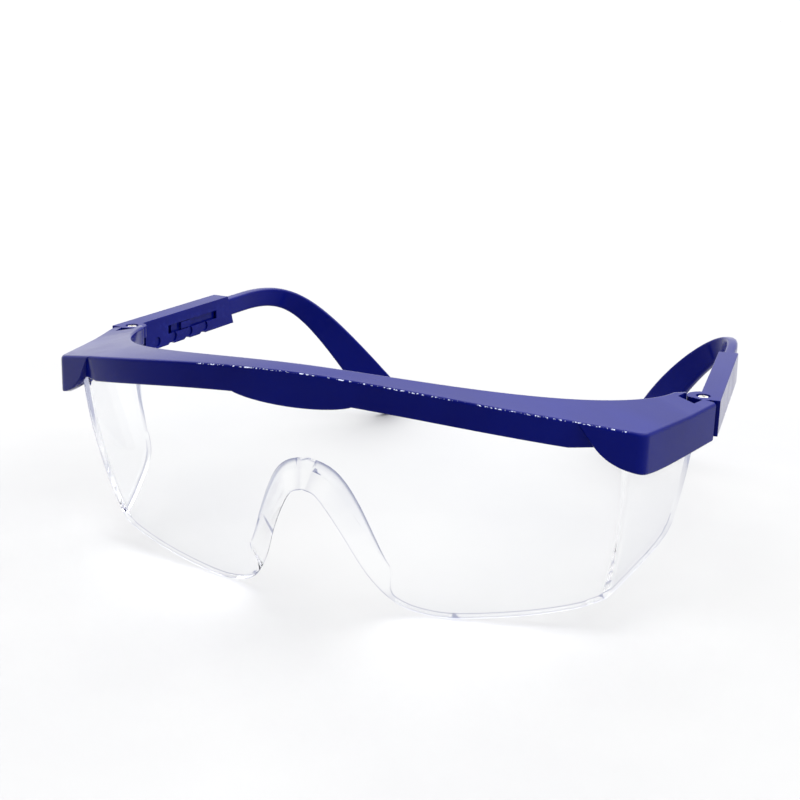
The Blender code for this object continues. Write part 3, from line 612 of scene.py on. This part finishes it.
def brow_channel():
    """The lofted body of the brow frame from one end to the other."""
    stations = outer_stations()
    tops = [station[0] for station in stations]
    normals = polyline_normals(tops)
    normals[0] = Vector((0.0, -1.0))
    lengths = [0.0]
    for a, b in zip(tops, tops[1:]):
        lengths.append(lengths[-1] + (b - a).length)
    inners = resample(plate_rear_path(), [length / lengths[-1] for length in lengths])
    inner_normals = polyline_normals(inners)
    inner_normals[0] = Vector((0.0, -1.0))
    half = [
        brow_section(station[0], station[1], station[2], normal, inner, inner_normal)
        for station, normal, inner, inner_normal in zip(stations, normals, inners, inner_normals)
    ]
    loops = [mirrored(loop) for loop in reversed(half[1:])] + half
    return loft("brow_shell", loops, CORNER_STEPS // 2)


def sided(outline, side):
    """A plan outline in millimetres, moved to one side of the glasses, in metres."""
    return [(side * x * mm, y * mm) for x, y in outline]


def shape_hinge_end(frame, side):
    """Notch in the plate, square rear end of the wall, end block and drilled lug of one side."""
    label = side_label(side)
    notch = prism(f"notch_{label}", sided(NOTCH_OUTLINE, side), LUG_TOP, CUTTER_TOP)
    combine(frame, notch, "DIFFERENCE")
    tail = side_box(
        "tail", side,
        (TAIL_INNER_X, WALL_END.y, CUTTER_BOTTOM),
        (WALL_END.x + CUTTER_REACH, WALL_END.y + CUTTER_REACH, CUTTER_TOP),
    )
    combine(frame, tail, "DIFFERENCE")
    block = side_box(
        "block", side,
        (END_BLOCK_INNER_X, END_BLOCK_FRONT_Y, WING_BOTTOM + END_BLOCK_LIFT),
        (END_BLOCK_OUTER_X, WALL_END.y, LUG_TOP),
    )
    combine(frame, block, "UNION")
    top = LUG_TOP - LUG_TOP_STEP
    neck = side_box(
        "neck", side,
        (HINGE.x - NECK_HALF_WIDTH, END_BLOCK_FRONT_Y + mm, LUG_BOTTOM),
        (HINGE.x + NECK_HALF_WIDTH, HINGE.y, top),
    )
    combine(frame, neck, "UNION")
    centre = (side * HINGE.x, HINGE.y)
    lug = upright_cylinder(f"lug_{label}", centre, LUG_RADIUS, LUG_BOTTOM, top)
    combine(frame, lug, "UNION")
    hole = upright_cylinder(f"bore_{label}", centre, SCREW_HOLE_RADIUS, CUTTER_BOTTOM, CUTTER_TOP)
    combine(frame, hole, "DIFFERENCE")


def build_brow(stand):
    """Brow frame with both hinge ends."""
    frame = brow_channel()
    for side in (-1, 1):
        shape_hinge_end(frame, side)
    settle(frame, stand)
    return frame


# ---------------------------------------------------------------- lens

def lens_front_y(x, z):
    """Front surface of the lens."""
    drop = LENS_LEAN_Z - z
    return LENS_FRONT_Y + LENS_LEAN * drop + LENS_BOW * drop * drop + LENS_WRAP * x * x


def fold_x(z):
    """X of the fold between front and shield at a height."""
    return FOLD_X - FOLD_TAPER * max(0.0, FOLD_TAPER_Z - z) ** 2


def lens_point(w, z):
    """Outer surface: w runs from the middle to FOLD_X at the fold and on along the shield."""
    fold = fold_x(z)
    past = w - FOLD_X
    corner = Vector((fold, lens_front_y(fold, z), z))
    shield = Vector((SHIELD_DIRECTION.x, SHIELD_DIRECTION.y, 0.0))
    if past >= FOLD_ROUNDING:
        return corner + shield * past
    inner_x = fold * min(w, FOLD_X - FOLD_ROUNDING) / FOLD_X
    start = Vector((inner_x, lens_front_y(inner_x, z), z))
    if past <= -FOLD_ROUNDING:
        return start
    end = corner + shield * FOLD_ROUNDING
    t = (past + FOLD_ROUNDING) / (2 * FOLD_ROUNDING)
    return start * (1 - t) ** 2 + corner * 2 * t * (1 - t) + end * t * t


def lens_solid_point(position, depth):
    """The point this deep behind the outer surface; the position is (w, z)."""
    w, z = position
    across = lens_point(w + SLOPE_STEP, z) - lens_point(w - SLOPE_STEP, z)
    upward = lens_point(w, z + SLOPE_STEP) - lens_point(w, z - SLOPE_STEP)
    inward = upward.cross(across).normalized()
    return lens_point(w, z) + inward * depth


def shield_columns():
    """Bottom and top of each column past the fold, on smooth curves through the outline."""
    first = (FOLD_ROUNDING / mm, LOBE_OUTLINE[-1][1] + FOLD_EDGE_RISE * FOLD_ROUNDING / mm)
    lows = [first] + [(low, low_z) for low, low_z, high, high_z in SHIELD_OUTLINE]
    highs = [(first[0], SHIELD_OUTLINE[0][3])]
    highs += [(high, high_z) for low, low_z, high, high_z in SHIELD_OUTLINE]
    low_curve = catmull_rom(lows, SHIELD_STEPS)
    columns = []
    for index, low in enumerate(low_curve[1:], start=1):
        part, rest = divmod(index, SHIELD_STEPS)
        start = Vector(highs[part])
        high = start.lerp(Vector(highs[min(part + 1, len(highs) - 1)]), rest / SHIELD_STEPS)
        offset = Vector((FOLD_X, 0.0))
        columns.append((low * mm + offset, high * mm + offset))
    return columns


def lens_columns():
    """Bottom and top of each column of the lens, as (w, z)."""
    columns = []
    for point in catmull_rom(LOBE_OUTLINE, LOBE_FINE_STEPS):
        x, z = point * mm
        w = x * FOLD_X / fold_x(z)
        if w < FOLD_X - FOLD_ROUNDING - FOLD_GAP:
            top_z = brow_top(w) - BROW_PLATE - LENS_TOP_CLEARANCE
            columns.append((Vector((w, z)), Vector((w, top_z))))
    top_z = SHIELD_OUTLINE[0][3] * mm
    for i in range(FOLD_FINE_STATIONS):
        past = FOLD_ROUNDING * (2 * i / (FOLD_FINE_STATIONS - 1) - 1.0)
        low_z = (LOBE_OUTLINE[-1][1] + FOLD_EDGE_RISE * past / mm) * mm
        columns.append((Vector((FOLD_X + past, low_z)), Vector((FOLD_X + past, top_z))))
    return columns + shield_columns()


def fade(value, span):
    """1 before the span, 0 after it, smooth between."""
    share = min(max((value - span[0]) / (span[1] - span[0]), 0.0), 1.0)
    return 1.0 - share * share * (3.0 - 2.0 * share)


def lens_section(bottom, top, normal, least_w):
    """One closed section (front column, nose flange or edge, rear column) and its rear foot."""
    flare = fade(bottom.x, FLANGE_DEPTH_FADE)
    width = FLANGE_WIDTH * fade(bottom.x, FLANGE_WIDTH_FADE)
    rim = Vector((width, LENS_THICKNESS + (FLANGE_DEPTH - LENS_THICKNESS) * flare))
    slope = rim.normalized()
    square = Vector((slope.y, -slope.x))
    spacing = Vector((EDGE_STEP * (1.0 - flare), 0.0))
    rim_upper = rim + square * FLANGE_WALL * flare + spacing
    join = rim_upper - slope * max((rim_upper.y - LENS_THICKNESS) / slope.y, 0.0) + 2 * spacing
    low = bottom + normal * join.x
    low.x = max(low.x, least_w)
    front = [lens_solid_point(bottom.lerp(top, i / FINE_ROWS), 0.0) for i in range(FINE_ROWS, 0, -1)]
    rear = [lens_solid_point(low.lerp(top, i / FINE_ROWS), LENS_THICKNESS) for i in range(1, FINE_ROWS + 1)]
    corners = [lens_solid_point(bottom, 0.0)]
    corners += [lens_solid_point(bottom + normal * offset.x, offset.y) for offset in (rim, rim_upper)]
    corners.append(lens_solid_point(low, LENS_THICKNESS))
    ends = [front[-1]] + corners + [rear[0]]
    curved = []
    for before, corner, after, radius in zip(ends, corners, ends[2:], EDGE_RADII):
        rounded = round_corners((before, corner, after), (0.0, radius, 0.0))
        curved += rounded[CORNER_STEPS + 1:-CORNER_STEPS - 1]
    return front + curved + rear, low.x


def build_lens(stand):
    """One-piece lens with side shields and nose bridge."""
    columns = lens_columns()
    bottoms = [column[0] for column in columns]
    normals = [-normal for normal in polyline_normals(bottoms)]
    normals[0] = Vector((0.0, 1.0))
    half = []
    foot = 0.0
    for (bottom, top), normal in zip(columns, normals):
        loop, foot = lens_section(bottom, top, normal, foot)
        foot += EDGE_STEP / LOBE_FINE_STEPS
        half.append(loop)
    loops = [mirrored(loop) for loop in reversed(half[1:])] + half
    lens = loft("clear_lens", loops)
    settle(lens, stand)
    return lens


# ---------------------------------------------------------------- temples

def temple_matrix(side):
    """From a temple's own coordinates, with its origin on the hinge axis, to the level ones."""
    place = Matrix.Translation((side * HINGE.x, HINGE.y, 0.0))
    return place @ Matrix.Rotation(side * TOE_IN, 4, "Z")


def arc_points(radius, start, end, steps):
    """Plan points on an arc round the hinge axis; angles in degrees."""
    turns = [math.radians(start + (end - start) * i / steps) for i in range(steps + 1)]
    return [Vector((radius * math.cos(turn), radius * math.sin(turn))) for turn in turns]


def housing_outline(rear_y):
    """Plan outline of the sleeve: round knuckle with a flat, outer cheek, two long sides."""
    knuckle_start = math.degrees(math.acos(HOUSING_INNER_X / KNUCKLE_RADIUS))
    knuckle_end = 360.0 - math.degrees(math.acos(CHEEK_INNER_X / KNUCKLE_RADIUS))
    outline = [Vector((HOUSING_INNER_X, rear_y))]
    for point in arc_points(KNUCKLE_RADIUS, knuckle_start, knuckle_end, KNUCKLE_STEPS):
        beyond = max(point.dot(KNUCKLE_FLAT_NORMAL) - KNUCKLE_FLAT_DISTANCE, 0.0)
        outline.append(point - KNUCKLE_FLAT_NORMAL * beyond)
    outline.append(Vector((CHEEK_INNER_X, HOUSING_FRONT_Y)))
    outline.append(Vector((HOUSING_OUTER_X, HOUSING_FRONT_Y)))
    outline.append(Vector((HOUSING_OUTER_X, rear_y)))
    return outline


def lug_gap_outline():
    """Plan outline of the space that the frame's lug swings in."""
    radius = LUG_RADIUS + LUG_GAP
    corners = [Vector((-CUTTER_REACH, -CUTTER_REACH)), Vector((radius, -CUTTER_REACH))]
    arc = arc_points(radius, 0.0, 90.0, LUG_GAP_STEPS)
    return corners + arc + [Vector((-CUTTER_REACH, radius))]


def arm_space(side):
    """The space inside the sleeve that the arm slides in, open at the rear."""
    half_width = ARM_THICKNESS / 2 + ARM_CLEARANCE
    half_height = ARM_HEIGHT / 2 + ARM_CLEARANCE
    rear_y = HOUSING_REAR_BOTTOM_Y + CUTTER_REACH
    return side_box(
        "arm_space", side,
        (ARM_CENTRE_X - half_width, CAVITY_FRONT_Y, ARM_CENTRE_Z - half_height),
        (ARM_CENTRE_X + half_width, rear_y, ARM_CENTRE_Z + half_height),
    )


def housing_tools(side):
    """Everything that is cut out of a sleeve."""
    label = side_label(side)
    gap = prism(
        f"lug_gap_{label}",
        [(side * point.x, point.y) for point in lug_gap_outline()],
        LUG_BOTTOM - FORK_CLEARANCE,
        LUG_TOP + FORK_CLEARANCE,
    )
    slot = side_box(
        "peg_slot", side,
        (HOUSING_INNER_X - mm, SLOT_START_Y, SLOT_CENTRE_Z - SLOT_HEIGHT / 2),
        (ARM_CENTRE_X, SLOT_END_Y, SLOT_CENTRE_Z + SLOT_HEIGHT / 2),
    )
    recess = upright_cylinder(
        f"recess_{label}", (0, 0), RECESS_RADIUS, HOUSING_TOP - RECESS_DEPTH, HOUSING_TOP + mm
    )
    hole = upright_cylinder(f"screw_hole_{label}", (0, 0), SCREW_HOLE_RADIUS, CUTTER_BOTTOM, CUTTER_TOP)
    tools = [gap, arm_space(side), slot, recess, hole]
    for i in range(DIMPLE_COUNT):
        tools.append(cross_cylinder(
            f"dimple_{label}_{i}", side, DIMPLE_START_Y + i * DIMPLE_PITCH, DIMPLE_Z, DIMPLE_RADIUS,
            (HOUSING_INNER_X - mm, HOUSING_INNER_X + DIMPLE_DEPTH),
        ))
    for i in range(SCALLOP_COUNT):
        tools.append(cross_cylinder(
            f"scallop_{label}_{i}", side, SCALLOP_START_Y + i * DIMPLE_PITCH,
            HOUSING_BOTTOM + SCALLOP_DEPTH - SCALLOP_RADIUS,
            SCALLOP_RADIUS, (HOUSING_INNER_X - mm, HOUSING_OUTER_X + mm),
        ))
    return tools


def build_housing(side, stand):
    """Sleeve with a forked knuckle."""
    loops = [
        [Vector((side * point.x, point.y, z)) for point in housing_outline(rear_y)]
        for rear_y, z in ((HOUSING_REAR_BOTTOM_Y, HOUSING_BOTTOM), (HOUSING_REAR_TOP_Y, HOUSING_TOP))
    ]
    housing = loft(f"temple_sleeve_{side_label(side)}", loops)
    soften(housing, HOUSING_ROUNDING)
    for tool in housing_tools(side):
        combine(housing, tool, "DIFFERENCE")
    soften(housing, CUT_ROUNDING, 50.0)
    settle(housing, stand @ temple_matrix(side))
    return housing


def bezier(points, t):
    """A point of a cubic Bezier curve."""
    a, b, c, d = points
    s = 1.0 - t
    return a * s ** 3 + b * 3 * s * s * t + c * 3 * s * t * t + d * t ** 3


def arm_section(centre, tangent, height, side):
    """Rounded upright section square to the arm."""
    outward = tangent.cross(Vector((0, 0, 1))).normalized()
    upward = outward.cross(tangent).normalized()
    half_x = ARM_THICKNESS / 2
    half_z = height / 2
    corners = [
        centre + outward * x + upward * z
        for x, z in ((half_x, half_z), (-half_x, half_z), (-half_x, -half_z), (half_x, -half_z))
    ]
    loop = round_corners(corners, [ARM_ROUNDING] * 4)
    return [Vector((side * point.x, point.y, point.z)) for point in loop]


def build_arm(side, stand):
    """Sliding arm with the ear bend and its peg."""
    start = Vector((ARM_CENTRE_X, ARM_STRAIGHT_END_Y, ARM_CENTRE_Z))
    curve = (start,) + EAR_CURVE
    straight = Vector((0, 1, 0))
    front = Vector((ARM_CENTRE_X, ARM_FRONT_Y, ARM_CENTRE_Z))
    loops = [arm_section(front, straight, ARM_HEIGHT, side)]
    for i in range(EAR_STATIONS + 1):
        t = i / EAR_STATIONS
        ahead = bezier(curve, min(t + EAR_TANGENT_STEP, 1.0))
        tangent = ahead - bezier(curve, max(t - EAR_TANGENT_STEP, 0.0))
        height = ARM_HEIGHT + (EAR_HEIGHT - ARM_HEIGHT) * t * t
        loops.append(arm_section(bezier(curve, t), tangent.normalized(), height, side))
    ending = (EAR_TIP - curve[3]).normalized()
    for i in range(1, TIP_STATIONS + 1):
        angle = 0.5 * math.pi * i / TIP_STATIONS
        centre = curve[3].lerp(EAR_TIP, math.sin(angle))
        height = EAR_HEIGHT * max(math.cos(angle), TIP_END_SHARE) ** TIP_ROUNDING
        loops.append(arm_section(centre, ending, height, side))
    arm = loft(f"ear_arm_{side_label(side)}", loops)
    tongue_side = ARM_CENTRE_X - ARM_THICKNESS / 2
    peg = side_box(
        "peg", side,
        (HOUSING_INNER_X + PEG_INSET, PEG_Y - PEG_LENGTH / 2, SLOT_CENTRE_Z - PEG_HEIGHT / 2),
        (tongue_side + PEG_ROOT, PEG_Y + PEG_LENGTH / 2, SLOT_CENTRE_Z + PEG_HEIGHT / 2),
    )
    combine(arm, peg, "UNION")
    settle(arm, stand @ temple_matrix(side))
    return arm


def build_screw(side, stand):
    """Hinge screw: a shank and a domed head with a cross recess."""
    label = side_label(side)
    head_bottom = HOUSING_TOP - RECESS_DEPTH + SCREW_SEAT_GAP
    head_top = head_bottom + SCREW_HEAD_HEIGHT
    end_z = HOUSING_BOTTOM + SCREW_END_INSET
    profile = [
        (0.0, end_z),
        (SCREW_RADIUS - SCREW_END_CHAMFER, end_z),
        (SCREW_RADIUS, end_z + SCREW_END_CHAMFER),
        (SCREW_RADIUS, head_bottom),
        (SCREW_HEAD_RADIUS - SCREW_RIM_CHAMFER, head_bottom),
        (SCREW_HEAD_RADIUS, head_bottom + SCREW_RIM_CHAMFER),
    ]
    rounding = SCREW_DOME_ROUNDING
    for i in range(SCREW_DOME_STEPS + 1):
        angle = 0.5 * math.pi * i / SCREW_DOME_STEPS
        radius = SCREW_HEAD_RADIUS - rounding + rounding * math.cos(angle)
        profile.append((radius, head_top - rounding + rounding * math.sin(angle)))
    profile.append((0.0, head_top))
    bm = bmesh.new()
    verts = [bm.verts.new((radius, 0.0, z)) for radius, z in profile]
    edges = [bm.edges.new(pair) for pair in zip(verts, verts[1:])]
    bmesh.ops.spin(
        bm, geom=verts + edges, axis=(0, 0, 1), cent=(0, 0, 0), angle=2 * math.pi, steps=48
    )
    bmesh.ops.remove_doubles(bm, verts=bm.verts, dist=0.001 * mm)
    screw = object_from_bmesh(f"screw_{label}", bm)
    long, narrow = GROOVE_HALF_LENGTH, GROOVE_HALF_WIDTH
    for index, (x, y) in enumerate(((long, narrow), (narrow, long))):
        low = (-x, -y, head_top - GROOVE_DEPTH)
        groove = box(f"groove_{label}_{index}", low, (x, y, head_top + mm))
        combine(screw, groove, "DIFFERENCE")
    place = Matrix.Translation((side * HINGE.x, HINGE.y, 0.0)) @ Matrix.Rotation(SCREW_TURN, 4, "Z")
    settle(screw, stand @ place)
    return screw


# ---------------------------------------------------------------- materials

def add_node(tree, kind, links=(), **values):
    """A shader node with its input values and its incoming links."""
    node = tree.nodes.new(kind)
    for name, value in values.items():
        key = name.replace("_", " ")
        if key in node.inputs:
            node.inputs[key].default_value = value
        else:
            setattr(node, name, value)
    for socket, source in links:
        tree.links.new(source, node.inputs[socket])
    return node


def noise(tree, scale, detail=2.0, stretch=None):
    """Noise in the object's own space, as a value from 0 to 1."""
    place = add_node(tree, "ShaderNodeTexCoord").outputs["Object"]
    if stretch:
        mapping = add_node(tree, "ShaderNodeMapping", [("Vector", place)])
        mapping.inputs["Scale"].default_value = stretch
        place = mapping.outputs["Vector"]
    node = add_node(tree, "ShaderNodeTexNoise", [("Vector", place)], Scale=scale, Detail=detail)
    return node.outputs["Fac"]


def ranged(tree, value, low, high, to_low, to_high):
    """Map a value's range to another one, held at its ends."""
    node = add_node(
        tree, "ShaderNodeMapRange", [("Value", value)],
        From_Min=low, From_Max=high, To_Min=to_low, To_Max=to_high,
    )
    return node.outputs["Result"]


def maths(tree, operation, first, second):
    """One arithmetic step between a value and a value or number."""
    node = tree.nodes.new("ShaderNodeMath")
    node.operation = operation
    node.use_clamp = True
    tree.links.new(first, node.inputs[0])
    if isinstance(second, float):
        node.inputs[1].default_value = second
    else:
        tree.links.new(second, node.inputs[1])
    return node.outputs["Value"]


def blend_colours(tree, share, first, second):
    """Mix two colours; each is an RGB tuple or a socket."""
    node = tree.nodes.new("ShaderNodeMix")
    node.data_type = "RGBA"
    tree.links.new(share, node.inputs["Factor"])
    for socket, colour in ((node.inputs[6], first), (node.inputs[7], second)):
        if isinstance(colour, tuple):
            socket.default_value = (*colour, 1.0)
        else:
            tree.links.new(colour, socket)
    return node.outputs[2]


def new_material(name):
    """An empty node material with its Principled shader."""
    material = bpy.data.materials.new(name)
    material.use_nodes = True
    return material, material.node_tree, material.node_tree.nodes["Principled BSDF"]


def bump(tree, shader, height, strength, distance):
    """Feed a height into the shader's normal."""
    node = add_node(tree, "ShaderNodeBump", [("Height", height)], Strength=strength, Distance=distance)
    tree.links.new(node.outputs["Normal"], shader.inputs["Normal"])


def blue_plastic(name):
    """Glossy moulded blue plastic: cloudy colour, orange peel, fine scratches, worn edges, painted glints on
    the front ridge.
    """
    material, tree, shader = new_material(name)
    cloud = ranged(tree, noise(tree, 45.0, 3.0), 0.3, 0.7, 0.0, 1.0)
    colour = blend_colours(tree, cloud, BLUE_DEEP, BLUE_BRIGHT)
    edge = tree.nodes.new("ShaderNodeNewGeometry").outputs["Pointiness"]
    worn = ranged(tree, edge, 0.53, 0.62, 0.0, 1.0)
    patchy = ranged(tree, noise(tree, 700.0, 4.0), 0.45, 0.65, 0.0, 1.0)
    worn = maths(tree, "MULTIPLY", maths(tree, "MULTIPLY", worn, patchy), WORN_SHARE)
    colour = blend_colours(tree, worn, colour, BLUE_WORN)
    # Painted highlight: white specks along the marked front ridge stand in for glints of light.
    ridge = tree.nodes.new("ShaderNodeAttribute")
    ridge.attribute_name = "ridge"
    speck = ranged(tree, noise(tree, 1900.0, 2.0, (1.0, 1.0, 0.5)), 0.54, 0.64, 0.0, 1.0)
    glint = maths(tree, "MULTIPLY", speck, ranged(tree, ridge.outputs["Fac"], 0.45, 0.7, 0.0, 1.0))
    colour = blend_colours(tree, glint, colour, PAINTED_GLINT)
    tree.links.new(colour, shader.inputs["Base Color"])
    lines = noise(tree, 260.0, 2.0, (1.0, 14.0, 6.0))
    scratches = ranged(tree, lines, 0.62, 0.75, 0.0, SCRATCH_ROUGHNESS)
    rough = ranged(tree, noise(tree, 120.0, 3.0), 0.3, 0.7, *PLASTIC_ROUGHNESS)
    tree.links.new(maths(tree, "ADD", rough, scratches), shader.inputs["Roughness"])
    shader.inputs["Specular IOR Level"].default_value = PLASTIC_SPECULAR
    bump(tree, shader, noise(tree, 420.0, 2.0), 0.03, 0.06 * mm)
    return material


def clear_polycarbonate(name):
    """Clear lens: faint haze, hairlines and painted shade at its edges; lamps shine through it on the table.
    """
    material, tree, shader = new_material(name)
    tint = ranged(tree, noise(tree, 30.0, 2.0), 0.3, 0.7, 0.0, 1.0)
    colour = blend_colours(tree, tint, LENS_COOL, LENS_CLEAR)
    # Painted shade: the colour turns dark blue-grey where the lens is seen edge on and along its sharp edges.
    facing = add_node(tree, "ShaderNodeLayerWeight", Blend=0.5).outputs["Facing"]
    grazing = ranged(tree, facing, 0.66, 0.97, 0.0, 1.0)
    edge = tree.nodes.new("ShaderNodeNewGeometry").outputs["Pointiness"]
    rim = maths(tree, "MAXIMUM", grazing, ranged(tree, edge, 0.505, 0.54, 0.0, 1.0))
    colour = blend_colours(tree, rim, colour, LENS_RIM)
    tree.links.new(colour, shader.inputs["Base Color"])
    hairlines = ranged(tree, noise(tree, 300.0, 3.0, (1.0, 1.0, 18.0)), 0.66, 0.75, 0.0, 0.05)
    tree.links.new(hairlines, shader.inputs["Roughness"])
    shader.inputs["IOR"].default_value = LENS_IOR
    shader.inputs["Transmission Weight"].default_value = 1.0
    bump(tree, shader, noise(tree, 55.0, 1.0), 0.05, 0.1 * mm)
    clear = tree.nodes.new("ShaderNodeBsdfTransparent")
    mix = tree.nodes.new("ShaderNodeMixShader")
    path = tree.nodes.new("ShaderNodeLightPath")
    tree.links.new(path.outputs["Is Shadow Ray"], mix.inputs["Fac"])
    tree.links.new(shader.outputs["BSDF"], mix.inputs[1])
    tree.links.new(clear.outputs["BSDF"], mix.inputs[2])
    tree.links.new(mix.outputs["Shader"], tree.nodes["Material Output"].inputs["Surface"])
    return material


def screw_steel(name):
    """Plated steel with turning marks and a few dull spots."""
    material, tree, shader = new_material(name)
    spots = ranged(tree, noise(tree, 1800.0, 4.0), 0.45, 0.7, 0.0, 1.0)
    tree.links.new(blend_colours(tree, spots, STEEL, STEEL_DULL), shader.inputs["Base Color"])
    tree.links.new(ranged(tree, spots, 0.0, 1.0, 0.2, 0.42), shader.inputs["Roughness"])
    shader.inputs["Metallic"].default_value = 1.0
    bump(tree, shader, noise(tree, 5000.0, 2.0, (1.0, 1.0, 6.0)), 0.15, 0.03 * mm)
    return material


def table_white(name):
    """White table top with faint mottling."""
    material, tree, shader = new_material(name)
    mottle = ranged(tree, noise(tree, 14.0, 4.0), 0.35, 0.65, 0.0, 1.0)
    tree.links.new(blend_colours(tree, mottle, TABLE_DARK, TABLE_LIGHT), shader.inputs["Base Color"])
    shader.inputs["Roughness"].default_value = TABLE_ROUGHNESS
    shader.inputs["Specular IOR Level"].default_value = TABLE_SPECULAR
    return material


# ---------------------------------------------------------------- surroundings

def build_table(low):
    """A large white table top just under the glasses."""
    bm = bmesh.new()
    bmesh.ops.create_grid(bm, x_segments=8, y_segments=8, size=TABLE_HALF_SIZE)
    table = object_from_bmesh("table_top", bm)
    table.location = (0.0, 0.0, low.z)
    table.data.materials.append(table_white("table_white"))


def light_the_scene():
    """Soft light from above and behind, with a darker room on the camera's side."""
    world = bpy.data.worlds.new("studio")
    bpy.context.scene.world = world
    world.use_nodes = True
    tree = world.node_tree
    background = tree.nodes["Background"]
    direction = add_node(tree, "ShaderNodeTexCoord").outputs["Generated"]
    parts = add_node(tree, "ShaderNodeSeparateXYZ", [("Vector", direction)])
    behind = ranged(tree, parts.outputs["Y"], *BEHIND_RANGE, 0.0, 1.0)
    above = ranged(tree, parts.outputs["Z"], *OVERHEAD_RANGE, 0.0, 1.0)
    low = ranged(tree, parts.outputs["Z"], *HORIZON_RANGE, 1.0, 0.0)
    walls = blend_colours(tree, maths(tree, "MAXIMUM", behind, low), ROOM_DARK, ROOM_LOW)
    overhead = maths(tree, "MULTIPLY", behind, above)
    tree.links.new(blend_colours(tree, overhead, walls, ROOM_LIGHT), background.inputs["Color"])


def place_camera(stand):
    """Camera above and to the right of the glasses, looking down at the lens."""
    data = bpy.data.cameras.new("camera")
    data.lens = CAMERA_LENS_MM
    data.sensor_width = CAMERA_SENSOR_MM
    data.clip_start = CAMERA_CLIP_START
    camera = bpy.data.objects.new("camera", data)
    bpy.context.collection.objects.link(camera)
    forward = Vector((
        -math.sin(CAMERA_AZIMUTH) * math.cos(CAMERA_ELEVATION),
        math.cos(CAMERA_AZIMUTH) * math.cos(CAMERA_ELEVATION),
        -math.sin(CAMERA_ELEVATION),
    ))
    turn = forward.to_track_quat("-Z", "Y").to_matrix().to_4x4()
    level = Matrix.Translation(CAMERA_PLACE) @ turn @ Matrix.Rotation(CAMERA_ROLL, 4, "Z")
    camera.matrix_world = stand @ level
    bpy.context.scene.camera = camera


# ---------------------------------------------------------------- assembly

def dress(piece, material, body, node):
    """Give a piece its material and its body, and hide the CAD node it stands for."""
    piece.data.materials.clear()
    piece.data.materials.append(material)
    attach(piece, body)
    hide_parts(node)


def main():
    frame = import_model()
    cad_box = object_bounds()
    bpy.context.scene.view_settings.view_transform = "Standard"
    stand = stand_matrix(frame["record"])
    blue = blue_plastic("blue_plastic_gloss")
    clear = clear_polycarbonate("clear_polycarbonate_lens")
    steel = screw_steel("plated_steel")
    dress(build_brow(stand), blue, "front", "brow_frame")
    dress(build_lens(stand), clear, "front", "lens")
    for side in (-1, 1):
        label = side_label(side)
        sleeve = build_housing(side, stand)
        dress(sleeve, blue, f"housing_{label}", f"temple_housing_{label}")
        dress(build_arm(side, stand), blue, f"arm_{label}", f"temple_arm_{label}")
        dress(build_screw(side, stand), steel, "front", f"hinge_screw_{label}")
    build_table(cad_box[0])
    light_the_scene()
    place_camera(stand)


main()
